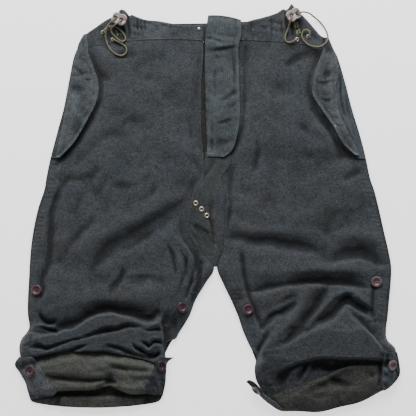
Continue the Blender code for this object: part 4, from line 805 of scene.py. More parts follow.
# %% Folds of the right front
# width to the left, width to the right, power, and the points of the line: x, y, height
RIGHT_FOLDS = [
    # the groin
    (15, 26, 1.7, [(-203, -128, 0), (-197, -108, -4), (-185, -84, -8), (-166, -65, -8.5), (-149, -55, -8.5),
        (-132, -48, -9), (-115, -38, -9), (-98, -28, -9), (-81, -17, -9), (-64, -7, -8.5), (-45, 1, -7),
        (-33, 10, -5), (-27, 26, -2)]),
    (14, 10, 2, [(-190, -58, 0), (-150, -33, 2.5), (-110, -16, 3), (-70, 6, 2.5), (-45, 18, 0)]),
    (5, 6, 2, [(-150, -72, 0), (-125, -64, -2), (-105, -50, -2), (-85, -38, 0)]),
    (9, 7, 2, [(-22, -152, -2), (-15, -128, -7), (-13, -105, -8), (-18, -85, -9), (-27, -65, -10),
        (-36, -50, -10), (-41, -32, -9), (-36, -12, -4)]),
    (3.5, 3.5, 2, [(-20, -126, 0), (-23, -104, 3), (-29, -84, 3.5), (-39, -64, 2)]),
    (3.5, 4, 2, [(-31, -134, 0), (-34, -108, -4.5), (-40, -86, -4.5), (-50, -62, 0)]),
    (3.5, 3.5, 2, [(-42, -130, 0), (-45, -106, 1.5), (-51, -86, 1.5), (-60, -66, 0)]),
    (4, 4, 2, [(-52, -118, 0), (-57, -94, -3.5), (-63, -75, -3.5), (-74, -56, 0)]),
    (4, 3, 2, [(-7, -88, -1), (-10, -106, -6), (-14, -126, -7), (-22, -148, -5), (-30, -162, -1)]),
    (3, 3, 2, [(-15, -74, -1), (-20, -96, -5), (-24, -116, -6), (-30, -136, -5), (-37, -154, -2)]),
    (3, 3, 2, [(-29, -66, -1), (-34, -88, -4), (-38, -108, -4), (-43, -128, -3), (-49, -146, -1)]),
    (6, 7, 2, [(-54, -4, -3), (-42, 7, -7), (-33, 17, -8), (-27, 29, -6), (-24, 42, -2)]),
    (8, 8, 2, [(-42, -172, -1), (-52, -188, -3), (-58, -204, -4), (-62, -218, -3)]),
    # the outer side
    (5, 9, 2, [(-285, -130, -2), (-278, -112, -6), (-273, -95, -8), (-270, -75, -8), (-267, -50, -8),
        (-266, -25, -7.5), (-264, -2, -6.5), (-257, 18, -5.5), (-247, 36, -4), (-240, 48, -2)]),
    (7, 8, 2, [(-247, 44, -1), (-232, 48, -2.5), (-217, 49, -2.5), (-203, 51, -3), (-193, 57, -3),
        (-183, 70, -1)]),
    (8, 8, 2, [(-262, 45, 0), (-252, 64, 3), (-238, 82, 0)]),
    (9, 12, 2, [(-232, 66, -1), (-217, 84, -2.5), (-200, 101, -3), (-183, 114, -3), (-166, 124, -3),
        (-149, 135, -2.5), (-132, 148, -2), (-115, 160, 0)]),
    (6, 7, 2, [(-197, 8, 0), (-185, 26, -1.8), (-174, 44, -1.8), (-164, 62, 0)]),
    (6, 7, 2, [(-232, -18, 0), (-223, 0, -1.8), (-213, 18, -1.5), (-208, 28, 0)]),
    (6, 8, 2, [(-264, -100, -1), (-247, -82, -2.2), (-234, -62, -2.5), (-217, -43, -2.5), (-200, -28, -2),
        (-186, -10, 0)]),
    (5, 6, 2, [(-118, 6, 0), (-102, 18, -1.8), (-91, 31, -1.8), (-84, 44, 0)]),
    (6, 7, 2, [(-172, 30, 0), (-150, 36, -1.5), (-128, 38, -1.5), (-112, 40, -1.5), (-104, 50, -1.2),
        (-95, 66, 0)]),
    (7, 7, 2, [(-26, 84, -1), (-16, 70, -3), (-10, 58, -3), (-14, 46, -1)]),
    # under the pocket flap, beside the fly and below the cord
    (7, 9, 1.7, [(-246, 89, -2), (-233, 100, -6), (-218, 118, -7), (-203, 142, -6.5), (-192, 163, -5.5),
        (-184, 180, -5), (-181, 197, -4.5), (-182, 215, -4.5), (-187, 232, -4.5), (-195, 252, -4),
        (-199, 270, -2)]),
    (10, 5, 1.7, [(-8, 104, -3), (-14, 128, -6), (-17, 150, -6.5), (-18, 175, -6.5), (-17, 200, -5),
        (-14, 225, -3), (-11, 250, -2)]),
    (4, 5, 2, [(-24, 96, 0), (-28, 120, -1.8), (-31, 150, -2), (-30, 180, 0)]),
    (7, 8, 2, [(-160, 256, -1), (-145, 259, -3.5), (-130, 260, -3), (-118, 264, 0)]),
    (5, 6, 2, [(-196, 262, 0), (-190, 240, -1.5), (-176, 225, -1.5), (-164, 214, 0)]),
    # the knee
    (6, 7, 2, [(-166, -143, -1.5), (-157, -133, -4), (-149, -122, -5), (-143, -111, -4), (-137, -103, -1)]),
    (5, 14, 2, [(-143, -127, 0), (-128, -121, -2.5), (-115, -118, -3), (-98, -118, -3), (-81, -120, -2.5),
        (-66, -124, 0)]),
    (4, 5, 2, [(-287, -158, -2), (-281, -148, -5), (-278, -140, -5), (-280, -130, -2)]),
    (5, 3.5, 2, [(-286, -178, -2), (-283, -185, -6), (-279, -191, -8), (-272, -195.5, -8), (-263, -195, -6),
        (-255, -192, -2)]),
    (4, 4, 2, [(-296, -197, 1), (-284, -198.5, 3), (-271, -200.5, 4), (-261, -205, 3)]),
    (3, 3, 2, [(-281, -202, -2), (-273, -204, -6), (-264, -208, -8), (-254, -212, -7)]),
    # the valley above the roll
    (13, 3.4, 1.5, [(-262, -213, -6), (-254, -211, -11), (-240, -207, -14), (-226, -203, -15),
        (-213, -195, -15.5), (-200, -186, -16), (-183, -178.5, -16.5), (-168, -176, -16.5),
        (-155, -177, -16.5), (-145, -180.5, -16.5), (-132, -184, -16.5), (-115, -189, -15.5),
        (-103, -192, -14), (-93, -188, -11), (-86, -181, -7), (-81, -172, -2)]),
    (20, 3, 2, [(-150, -170, 0), (-135, -172, -2.5), (-118, -176, -3), (-104, -178, -2)]),
    (2.8, 60, 2.6, [(-306, -212, 4), (-286, -215, 4.5), (-270, -216, 4.5), (-254, -214, 6), (-240, -210, 7),
        (-226, -206, 8), (-213, -198, 8), (-200, -189, 8), (-183, -181.5, 8), (-168, -179, 8),
        (-155, -180, 8), (-145, -183.5, 8), (-132, -187, 8), (-115, -192, 7.5), (-103, -195, 7),
        (-92, -196, 5.5), (-80, -198, 2)]),
    # the leg's inner strip, which passes under the roll
    (26, 2.6, 3, [(-84, -174, -1), (-80, -188, -6), (-76, -203, -10), (-73, -216, -12), (-72, -230, -10),
        (-72, -242, -4)]),
    # the rolls, their ridges and the creases between them
    (6, 12, 2, [(-300, -226, 2), (-283, -223, 4), (-268, -220, 5), (-251, -214, 6), (-234, -209, 6),
        (-215, -200, 6), (-190, -188, 6), (-166, -182, 6), (-140, -187, 6), (-115, -195, 5), (-95, -203, 4),
        (-84, -212, 2)]),
    (8, 3, 2, [(-300, -236, -4), (-285, -237, -9), (-270, -239, -10), (-255, -234, -10), (-240, -228, -10),
        (-217, -223, -10), (-200, -217, -10), (-183, -212, -10), (-168, -208, -11), (-155, -206, -11),
        (-142, -203, -10), (-128, -201, -8), (-117, -201, -5), (-106, -204, -1)]),
    (5, 6, 2, [(-290, -245, 2), (-268, -242, 4), (-251, -237, 5), (-234, -234, 5), (-217, -229, 5),
        (-200, -225, 5), (-186, -219, 4), (-174, -214, 2)]),
    (8, 4, 1.8, [(-285, -259, -3), (-268, -253, -8), (-251, -248, -10), (-234, -243, -11), (-217, -236, -11),
        (-204, -230, -10), (-190, -224, -9), (-180, -219, -8), (-170, -213, -5)]),
    (6, 9, 2, [(-192, -233, 2), (-178, -222, 5), (-160, -220, 6), (-145, -224, 6), (-130, -229, 4),
        (-118, -236, 2)]),
    (5, 5, 1.8, [(-176, -228, -2), (-164, -232, -5), (-152, -236, -6), (-138, -241, -7), (-126, -246, -7),
        (-114, -250, -8), (-102, -254, -8), (-90, -252, -6), (-78, -248, -3)]),
    (4.5, 3.5, 2, [(-128, -226, -3), (-121, -235, -10), (-112, -242, -12), (-103, -246, -11),
        (-91, -252, -11), (-84, -248, -7)]),
    (3.2, 3.2, 2, [(-118, -229, 2), (-108, -237, 6), (-101, -244, 6), (-94, -236, 6), (-82, -232, 4)]),
    (4, 3, 2, [(-112, -226, -3), (-104, -231, -9), (-99, -236, -8), (-92, -228, -8), (-84, -226, -8),
        (-77, -230, -4)]),
    (3, 3, 2, [(-112, -221, 1), (-102, -224, 4), (-94, -220, 4), (-84, -221, 3)]),
    (3, 3, 2, [(-108, -206, -1), (-98, -207, -5), (-88, -205, -7), (-79, -208, -4)]),
    (3.5, 3.5, 2, [(-96, -198, 2), (-88, -196, 7), (-81, -191, 7), (-79, -184, 3)]),
    # the button hidden under the roll
    (6, 6, 2.5, [(-311, -218, 1.5), (-309, -226, 2.5), (-309, -233, 1.5)]),
    (2, 2, 2, [(-300, -216, -1), (-299, -226, -2.5), (-301, -236, -1)]),
]

# %% [markdown]
# The left leg has a deep V of creases below the knee, and its cloth hangs over the roll as a lip. The gusset
# has a few short creases that run on from those of the fronts.

# %% Folds of the left front and the gusset
LEFT_FOLDS = [
    # the thigh
    (13, 11, 1.6, [(16, -54, -2), (30, -49, -4), (55, -50, -6.5), (72, -54, -8), (89, -57, -8),
        (106, -58, -7), (123, -60, -8), (140, -63, -8), (157, -65, -8), (172, -68, -7), (190, -70, -4),
        (206, -66, 0)]),
    (14, 10, 2, [(40, -26, 0), (75, -30, -1.5), (110, -28, -1.5), (140, -20, 0)]),
    (12, 10, 2, [(60, -34, 1), (95, -38, 2), (130, -42, 2.5), (155, -44, 2)]),
    (16, 16, 2, [(186, -28, -1.5), (200, -36, -3), (212, -40, -1.5)]),
    (14, 9, 2, [(200, -92, -2), (212, -90, -4), (225, -84, -6), (240, -80, -8), (256, -78, -9),
        (270, -82, -8), (284, -88, -6), (298, -94, -3)]),
    (12, 12, 2, [(225, -50, 1), (250, -46, 3), (275, -52, 3), (292, -58, 1)]),
    (5, 10, 2, [(30, -44, -1), (34, -15, -3), (42, 8, -2), (44, 20, 0)]),
    (6, 9, 2, [(47, 80, 0), (41, 60, -3), (38, 35, -4.5), (37, 10, -4.5), (36, -15, -4.5), (34, -36, -2)]),
    (5, 6, 2, [(72, 52, 0), (80, 66, -2), (84, 85, -2.5), (84, 105, -2.5), (82, 120, 0)]),
    (8, 8, 2, [(152, 148, 0), (165, 134, -2.5), (180, 122, -3), (196, 110, -2.5), (208, 99, 0)]),
    (6, 6, 2, [(157, 92, 0), (172, 86, -1.5), (184, 84, 0)]),
    (7, 8, 2, [(222, 45, 0), (238, 52, -2.5), (252, 60, -2.5), (262, 66, 0)]),
    (6, 7, 2, [(126, 243, 0), (140, 246, -3.5), (152, 254, -3.5), (168, 261, -3), (180, 262, 0)]),
    (14, 14, 2, [(100, 205, -0.5), (125, 203, -2), (150, 200, -0.5)]),
    # beside the placket and under the pocket flap
    (5, 9, 1.6, [(34, 84, -4), (46, 102, -5), (56, 130, -4), (60, 152, -3), (62, 184, -3), (63, 215, -2.5),
        (63, 245, -3), (64, 270, -3)]),
    (9, 7, 1.7, [(243, 88, -3), (229, 99, -7), (213, 120, -7.5), (199, 144, -7.5), (187, 163, -6.5),
        (178, 182, -5), (173, 197, -4.5), (174, 215, -4.5), (179, 233, -4.5), (186, 254, -4),
        (191, 268, -2)]),
    # the inner side and the knee
    (4, 6, 2, [(91, -203, -4), (86, -192, -6), (81, -178, -6), (76, -163, -6), (70, -150, -7),
        (66, -139, -8), (63, -122, -8), (61, -105, -7), (59, -88, -6), (57, -70, -2)]),
    (13, 3.5, 1.5, [(72, -141, -4), (92, -139, -8), (106, -137, -9), (123, -134, -8), (140, -131, -8),
        (157, -129, -10), (174, -127, -11), (191, -126, -12), (206, -127, -11), (225, -129, -9),
        (242, -131, -8), (258, -133, -7), (272, -136, -3)]),
    (14, 10, 2, [(80, -112, 1), (120, -106, 3), (160, -103, 4), (200, -103, 4), (240, -106, 4),
        (262, -112, 2)]),
    (5, 6, 2, [(92, -204, -3), (98, -196, -6), (106, -187, -7), (116, -181, -7), (126, -178, -7),
        (136, -171, -6), (146, -165, -4), (153, -162, -1)]),
    (9, 10, 2, [(96, -262, 1), (100, -240, 3), (110, -222, 4), (128, -205, 4), (145, -188, 5),
        (157, -170, 5), (165, -152, 4), (180, -139, 3), (200, -133, 2)]),
    (12, 8, 1.6, [(108, -236, -2), (120, -230, -5), (132, -226, -7), (143, -220, -9), (153, -211, -11),
        (160, -203, -12), (165, -193, -12), (173, -182, -11), (182, -170, -10), (190, -158, -9),
        (198, -145, -7), (206, -131, -5)]),
    (3.5, 4, 2, [(128, -232, 0), (136, -224, -3), (144, -212, -3), (150, -200, 0)]),
    (4, 4, 2, [(112, -166, 0), (128, -160, -2.5), (140, -152, -3), (150, -146, 0)]),
    (6, 6, 2, [(180, -190, 2), (192, -176, 4), (203, -162, 4), (215, -151, 4), (228, -145, 4),
        (240, -143, 4), (252, -147, 4), (264, -156, 4), (273, -167, 2)]),
    (9, 6, 2, [(164, -217, -3), (174, -206, -8), (186, -196, -10), (200, -190, -11), (212, -183, -11),
        (222, -174, -11), (232, -163, -11), (240, -156, -10)]),
    (15, 13, 2, [(160, -200, -1), (176, -192, -4), (190, -184, -6), (204, -174, -6), (220, -164, -3)]),
    (8, 7, 3, [(236, -157, -8), (245, -162, -12), (256, -168, -12), (267, -174, -10), (276, -180, -5)]),
    (10, 3.5, 2, [(246, -180, -5), (262, -195, -7), (276, -210, -7), (290, -226, -7), (300, -238, -4)]),
    (3, 12, 2, [(240, -180, 2), (256, -196, 3), (270, -212, 3), (284, -228, 2)]),
    (4, 5, 2, [(283, -190, -3), (280, -170, -6), (281, -150, -6), (282, -135, -3)]),
    # the lip of the panel, and the layer below it
    (46, 3.4, 2.4, [(124, -321, 0), (113, -308, 1), (112, -293, 2), (118, -280, 4), (130, -270, 7),
        (146, -262, 10), (168, -256, 12), (190, -253, 13), (225, -252, 13), (259, -253, 13), (285, -254, 12),
        (304, -255, 7)]),
    (9, 9, 2, [(122, -282, -2), (128, -292, -5), (128, -304, -5), (124, -314, -3)]),
    (4, 5, 2, [(84, -251, -3), (88, -238, -6), (94, -225, -6.5), (101, -213, -4)]),
    (5, 5, 2, [(93, -226, 1), (92, -246, 3), (93, -268, 3), (97, -292, 2)]),
    (6, 6, 2, [(128, -306, 1), (136, -294, 3), (146, -282, 4), (156, -272, 3)]),
    (4, 4, 2, [(160, -296, 1), (166, -284, 4), (171, -272, 5), (174, -262, 3)]),
    (4, 5, 2, [(150, -300, -1), (156, -288, -3), (163, -276, -4), (167, -266, -4)]),
    (7, 8, 2, [(180, -262, -4), (196, -266, -6), (208, -273, -7), (220, -270, -6), (232, -264, -3)]),
]
GUSSET_FOLDS = [
    (6, 8, 2, [(-18, -36, -3), (-9, -44, -6), (-1, -54, -8), (2, -68, -5)]),
    (9, 3, 2, [(6, 24, -0.5), (5, 4, -2), (4, -16, -3), (7, -36, -4), (9, -56, -3)]),
    (4, 4, 2, [(-26, -44, -1), (-18, -54, -3), (-10, -68, -3), (-4, -80, -1)]),
    (4, 6, 2, [(-22, 30, 0), (-16, 42, -2), (-8, 52, -2.5), (-4, 66, 0)]),
    (4, 4, 2, [(10, 86, 0), (6, 70, -1.5), (0, 58, -1.5), (-4, 44, 0)]),
    (4, 4, 2, [(-24, -28, -1), (-14, -38, -2.5), (-4, -42, -3), (8, -44, -1)]),
    (4, 4, 2, [(-16, -60, 0), (-6, -70, -2.5), (6, -80, -2)]),
]

# %% [markdown]
# A panel's rows are taken from the curve through its table, evenly along the rise and fall of its middle, so
# that no face is stretched on a steep swell. No point may sink into the back below: near the rim the height
# levels out as a soft floor, the log of one plus e to the height, which has no edge where it starts.

# %% Panels
WOOL_THICKNESS = 1.8
RIM_Z = 2.1
EDGE_EASE = 5.0
SOFT_FLOOR = 0.7


def section_rows(sections, step, fine_below=-np.inf):
    """Rows of the table's curve, spaced evenly along the middle of the panel as it rises and falls. Below
    fine_below they are spaced two thirds as far apart."""
    dense = densely(sections, 60)
    middle = np.stack([(dense[:, 1] + dense[:, 3]) / 2 + dense[:, 4], dense[:, 5]], axis=1)
    lengths = np.linalg.norm(np.diff(middle, axis=0), axis=1) * np.where(middle[1:, 0] < fine_below, 1.5, 1.0)
    along = np.concatenate([[0], np.cumsum(lengths)])
    return picked(along, np.linspace(0, along[-1], int(along[-1] / step) + 1), dense)


def panel_top(rows, share, folds, dents, sway=1.2):
    """A panel's upper face at shares of the way across each row: the tube-like bulge, its folds and its
    dents."""
    outer_x, outer_y, inner_x, inner_y, bow, level, outer_z, inner_z, reach = rows.T[:, :, None]
    x = outer_x + (inner_x - outer_x) * share
    y = outer_y + (inner_y - outer_y) * share + bow * 4 * share * (1 - share)
    width = np.abs(inner_x - outer_x)
    from_outer, from_inner = share * width, (1 - share) * width
    z = level - (level - outer_z) * np.exp(-from_outer / reach)
    z = z - (level - inner_z) * np.exp(-from_inner / reach)
    fade = (1 - np.exp(-from_outer / EDGE_EASE)) * (1 - np.exp(-from_inner / EDGE_EASE))
    z = z + fade * (fold_heights(x, y, folds, sway) + dents(x, y))
    z = RIM_Z + SOFT_FLOOR * np.log1p(np.exp(np.clip((z - RIM_Z) / SOFT_FLOOR, -30, 30)))
    return np.stack([x, y, z + WOOL_THICKNESS], axis=2)


def eased_shares(columns, squeeze=0.4):
    """Shares from 0 to 1, closer together towards both ends: t less squeeze times sine of 2 pi t over 2
    pi."""
    t = np.linspace(0, 1, columns)
    return (t - squeeze * np.sin(2 * np.pi * t) / (2 * np.pi))[None, :]


def thigh_dents(x, y):
    """Low dents of slack wool: long waves down the leg, shorter ones near the knee and the waist."""
    low = np.clip((-60 - y) / 90, 0, 1)
    rolled = np.clip((-185 - y) / 15, 0, 1)
    slack = 1.4 * uneven(x, y, 27, 21) + 0.5 * uneven(x, y, 12, 22) + low * uneven(x, y, 34, 23, 15, 15)
    broad = 2.2 * uneven(x, y, 62, 24, 36, 20)
    fine = 0.8 * uneven(x, y, 11, 25, 6, 10) + 0.45 * uneven(x, y, 5, 26, 3.5, 12)
    return slack + broad + rolled * fine


# %% [markdown]
# ## Backs
#
# The backs and the back waistband lie flat on the table, and only their edges show. Each is a flat grid
# between two curved edges, whose table gives both ends of each row. The map gets a finer grid of the same
# shape, so that no cell between two rows is left out.

# %% Backs
# left x, left y, right x, right y, bow
RIGHT_BACK = [
    (-219, 269.5, -0.3, 282, 3), (-225.5, 252, -0.3, 252, 0), (-241.5, 170, -0.3, 170, 0),
    (-252.5, 129, -0.3, 129, 0), (-263.5, 87, -0.3, 87, 0), (-274.5, 31, -0.3, 31, 0),
    (-285.5, -3, 3, -3, 0), (-293.5, -41, 8, -41, 0), (-299.5, -96, 12, -96, 0), (-301, -129, -7, -129, 0),
    (-302.5, -180, -34, -184, 0), (-300.5, -204, -50, -213, 0), (-311, -221, -62, -228, 0),
    (-313, -244, -74, -251, 14),
]
LEFT_BACK = [
    (0.3, 282, 211.5, 269.5, 3), (0.3, 252, 220, 252, 0), (0.3, 170, 242.5, 170, 0), (0.3, 129, 255, 129, 0),
    (0.3, 82, 267, 82, 0), (0.3, 27, 281.5, 27, 0), (4.5, -3, 289, -3, 0), (10, -41, 297.5, -41, 0),
    (15, -96, 308.5, -96, 0), (29.5, -129, 308.5, -129, 0), (54.5, -184, 303.5, -184, 0),
    (63, -208, 301, -206, 0), (73, -235, 302, -223, 4), (84, -264, 309, -236, 7),
]
BACK_WAISTBAND = [
    (-164, 316, 158, 324, -6), (-204, 290, 196, 288, 5), (-216, 276, 208, 276, 11),
    (-218, 270.5, 210.5, 270.5, 12.3),
]
MAP_STEP = 1.4


def flat_grid(rows, step, height=0.0):
    """A grid in the plane between the rows' ends: each point is the mix of a row's two ends plus its bow."""
    dense = densely(rows, 30)
    along = distances((dense[:, :2] + dense[:, 2:4]) / 2)
    at = np.linspace(0, along[-1], max(int(along[-1] / step), 2) + 1)
    left_x, left_y, right_x, right_y, bow = picked(along, at, dense).T[:, :, None]
    share = np.linspace(0, 1, max(int(np.abs(right_x - left_x).max() / step), 3) + 1)[None, :]
    x = left_x + (right_x - left_x) * share
    y = left_y + (right_y - left_y) * share + bow * 4 * share * (1 - share)
    return np.stack([x, y, np.full_like(x, height)], axis=2)


for name, rows, step in (
    ("right_back", RIGHT_BACK, 5.0), ("left_back", LEFT_BACK, 5.0), ("back_waistband", BACK_WAISTBAND, 3.0)
):
    add_cloth(name + "_cloth", flat_grid(rows, step, WOOL_THICKNESS), WOOL_THICKNESS, WOOL, name,
              flat_base=True, pressed=flat_grid(rows, MAP_STEP, WOOL_THICKNESS))

# %% [markdown]
# The back layer of each turn-up shows below the front one as a rumpled strip, so its free part rises in
# uneven pleats across the leg: a smooth step down the strip times uneven waves along it.

# %% Back turn-ups
RIGHT_TURNUP_BACK = [
    (-312, -256, -77, -262, 14), (-313, -280, -75, -282, 4), (-305, -306, -75, -306, 0),
    (-303, -320, -77, -320, 0), (-296, -330, -86, -330, -2), (-270, -335, -116, -335, -4),
]
LEFT_TURNUP_BACK = [
    (92, -276, 315, -245, 8), (90, -292, 320, -262, 4), (102, -312, 321, -280, 0),
    (116, -328, 309, -300, -8), (134, -338, 294, -312, -14),
]
for side_name, rows, edge_y in (("right", RIGHT_TURNUP_BACK, -317), ("left", LEFT_TURNUP_BACK, -338)):
    hem = flat_grid(rows, 1.9, WOOL_THICKNESS)
    x, y = hem[..., 0], hem[..., 1]
    ways = from_edges(hem)
    ends = np.clip(ways["l"] / 14, 0, 1) * np.clip(ways["r"] / 14, 0, 1)
    pleats = 3.6 + 3.4 * uneven(x, y, 10, 31, 60) + 0.8 * uneven(x, y, 5, 32, 30)
    hem[..., 2] += smooth_step((edge_y - y) / 7) * ends * pleats
    # the back turn-up's olive is painted darker, as painted shade
    add_cloth(side_name + "_turnup_back_cloth", hem, WOOL_THICKNESS, PAINTED_SHADE_OLIVE, side_name + "_turnup_back",
              flat_base=True)

# %% [markdown]
# ## The hidden turns of the rolled legs
#
# Inside each roll the cloth goes round several times. Those hidden layers are one low rounded form, half an
# ellipsoid with shallow grooves along it where the layers end: its height is the square root of one minus
# the squared distance from its middle, less a little where a wave of that distance is low.

# %% Roll cores
# name, middle x, middle y, half length, half width, height, turn in degrees
ROLL_CORES = [
    ("right_roll_core", -193, -254, 104, 37, 6.4, -1.5), ("left_roll_core", 200, -240, 84, 16, 9, 5),
]
CORE_SIDES = 96
CORE_RINGS = 26
for name, core_x, core_y, half_length, half_width, height, turn in ROLL_CORES:
    share = np.linspace(0, 1, CORE_RINGS)[:, None]
    angle = circle(CORE_SIDES)[None, :]
    groove = 0.35 * (0.5 - 0.5 * np.cos(6 * np.pi * share)) * share
    bulge = np.maximum(height * np.sqrt(np.clip(1 - share**2, 0, 1)) - groove, 0.05)
    x, y = turned_by(half_length * share * np.cos(angle), half_width * share * np.sin(angle), turn)
    top = np.stack([core_x + x, core_y + y, RIM_Z + bulge + 0 * x], axis=2)
    base = top[-1:].copy()
    base[..., 2] = RIM_Z
    points, faces = ring_form(top[0, 0], np.concatenate([top[1:], base]), (core_x, core_y, RIM_Z))
    # a relief of -0.4 everywhere paints the hidden layers darker, as painted shade
    marks = {"relief": np.full(len(points), -0.4), "edge": np.zeros(len(points))}
    make_piece(name + "_layers", points, faces, [OLIVE], name, marks=marks)
    press_on(top)
    print(name, "top", round(float(top[..., 2].max()), 1), "mm")

# %% [markdown]
# With the tables, the backs and the cores in place, the two fronts are laid over them. At the left front's
# inner corner, above the roll, a small patch of the olive inside of the cloth turns outwards.

# %% Fronts
FRONT_STEP = 2.4
FRONT_COLUMNS = 150
FINE_BELOW = -100.0


def olive_corner(x, y):
    """Inside a small upright ellipse at the left front's inner corner."""
    return ((x - 79) / 5) ** 2 + ((y + 243) / 8) ** 2 < 1


for side_name, sections, folds, patch in (
    ("right", RIGHT_FRONT, RIGHT_FOLDS, None), ("left", LEFT_FRONT, LEFT_FOLDS, (OLIVE, olive_corner))
):
    rows = section_rows(sections, FRONT_STEP, FINE_BELOW)
    top = panel_top(rows, eased_shares(FRONT_COLUMNS), folds, thigh_dents)
    add_cloth(side_name + "_front_cloth", top, WOOL_THICKNESS, WOOL, side_name + "_front",
              edge_drop=0.8, relief_height=2.0, free_edges="bl",
              patch=patch)

# %% [markdown]
# ## The crotch gusset
#
# A smoother cloth set in between the two fronts. Its edges follow theirs, a seam's width away. It rises to a
# ridge on its right side, where a fold of the left front's wool covers it: the patch right of a line down
# the gusset.

# %% Gusset
GUSSET_GAP = 0.35
GUSSET_ROWS = 110
GUSSET_COLUMNS = 52
# y and x of the line from which the wool shows
WOOL_FROM = [(-97, 11), (-54, 12), (-17, 8), (13, 11), (33, 12), (46, 15), (68, 29), (80, 50)]


def inner_edge(side_name, y, k):
    """The x (k = 0) or the height (k = 2) of a front's inner edge at each y."""
    edge = tops[side_name + "_front_cloth"][:, -1]
    edge = edge[np.argsort(edge[:, 1])]
    return np.interp(y, edge[:, 1], edge[:, k])


y = np.linspace(97, -100, GUSSET_ROWS)[:, None]
left = inner_edge("right", y, 0) + GUSSET_GAP
left = np.where(y > 84, np.maximum(left, -4.0), left)
right = inner_edge("left", y, 0) - GUSSET_GAP
left_z, right_z = (inner_edge(side_name, y, 2) - WOOL_THICKNESS for side_name in ("right", "left"))
share = np.linspace(0, 1, GUSSET_COLUMNS)[None, :]
x = left + (right - left) * share
fork = np.clip((y + 100) / 60, 0, 1)
z = 2.4 + (2.6 + 3.4 / (1 + np.exp(-(y - 10) / 14)) + 2.6 * bell(share - 0.8, 0.22)) * fork
z = np.minimum(z, left_z + (right_z - left_z) * share + 1.2)
y = np.broadcast_to(y, x.shape)
ends = np.clip(np.minimum(share, 1 - share) * 8, 0, 1)
z = z + fold_heights(x, y, GUSSET_FOLDS) + 0.5 * ends * uneven(x, y, 14, 41)
top = np.stack([x, y, np.maximum(z, RIM_Z) + WOOL_THICKNESS], axis=2)
add_cloth("gusset_cloth_piece", top, WOOL_THICKNESS, GUSSET, "crotch_gusset", edge_drop=0.9,
          free_edges="tb",
          patch=(WOOL, lambda x, y: x > np.interp(y, *np.array(WOOL_FROM).T)))

# %% [markdown]
# ## Turn-ups
#
# The legs end in a turn-up that shows the olive inside of the cloth. They are panels like the fronts, with a
# swell above a long crease and a lower swell under it.

# %% Front turn-ups
RIGHT_TURNUP = [
    (-309, -248.5, -82, -255, 21, 9.6, 2.2, 2.2, 12), (-307, -258, -79, -264.5, 20, 10.5, 2.2, 2.2, 12),
    (-313, -275, -74, -279, 14, 20.0, 2.2, 2.2, 12), (-308, -299, -74, -302, 8, 16.0, 2.2, 2.2, 12),
    (-302, -309, -78, -312, 6, 15.0, 2.2, 2.2, 12), (-297, -316, -84, -319, 8, 9.0, 2.2, 2.2, 12),
]
LEFT_TURNUP = [
    (319, -262.5, 105, -321, 11, 10.5, 4.8, 3.8, 12), (324, -279, 112, -332, -1, 15.0, 2.2, 2.2, 12),
    (317, -295, 119, -339, -12, 12.0, 2.2, 2.2, 12), (310, -304, 124, -343.5, -17, 6.0, 2.2, 2.2, 12),
]
RIGHT_TURNUP_FOLDS = [
    (5, 5.5, 1.7, [(-280, -284, -1), (-262, -287, -4.5), (-245, -290, -6), (-228, -291.5, -6),
        (-211, -292, -5.5), (-194, -292.5, -6), (-180, -292.5, -6.5), (-168, -293, -6), (-158, -297, -3)]),
    (4, 5, 2, [(-196, -304, 0), (-186, -305, -3), (-176, -303, -5), (-168, -298, -6), (-160, -297, -3)]),
    (5, 5, 1.8, [(-168, -266, -1), (-157, -270, -4), (-145, -272, -5.5), (-132, -273, -5),
        (-118, -274, -4.5), (-104, -276, -3.5), (-95, -276, -1)]),
    (4, 4, 2, [(-132, -286, 0), (-116, -289, -1.5), (-98, -288, -2), (-86, -286, 0)]),
    (6, 7, 1.6, [(-168, -314, -3), (-166, -306, -5), (-164, -297, -4), (-163, -286, -3), (-165, -276, -1)]),
    (6, 6, 2, [(-150, -300, 1), (-138, -303, 3), (-122, -302, 3), (-108, -300, 1)]),
    (5, 5, 2, [(-240, -266, 0), (-215, -264, -1.5), (-190, -268, -1.5), (-172, -264, 0)]),
]
LEFT_TURNUP_FOLDS = [
    (9, 9, 2, [(150, -314, -1), (180, -306, -3.5), (210, -299, -5), (240, -295, -4), (265, -293, -2)]),
    (5, 5, 2, [(140, -322, 1), (165, -308, 2), (190, -296, 2.5), (210, -287, 3), (235, -275, 3),
        (262, -272, 2.5), (285, -273, 1)]),
    (5, 6, 2, [(205, -287, -2), (216, -296, -5), (230, -301, -5), (246, -303, -2)]),
    (6, 6, 2, [(268, -282, 0), (280, -284, -4), (294, -282, -2)]),
    (4, 3, 2, [(294, -256, -3), (293, -270, -5), (293, -286, -5), (291, -302, -3)]),
    (5, 6, 2, [(176, -324, 0), (190, -318, -3), (206, -316, 0)]),
]
TURNUP_STEP = 1.7
TURNUP_COLUMNS = 134


def turnup_dents(x, y):
    """Low, short dents across the turn-up."""
    return 0.9 * uneven(x, y, 20, 51, 9, 0) + 0.5 * uneven(x, y, 8, 52)


def turnup_edges(side_name, x, down):
    """How far a turn-up's edges leave the even curve, in y: the right one's hem dips in beside a pillow, and
    the left one's upper edge is pushed up. down is the share of the way from the upper edge to the hem."""
    if side_name == "right":
        return down**3 * (7 * bell(x + 167, 17) - 4 * bell(x + 128, 16))
    return (1 - down) ** 2 * 6 * bell(x - 236, 32) + down**3 * 1.2 * np.sin(x / 11)


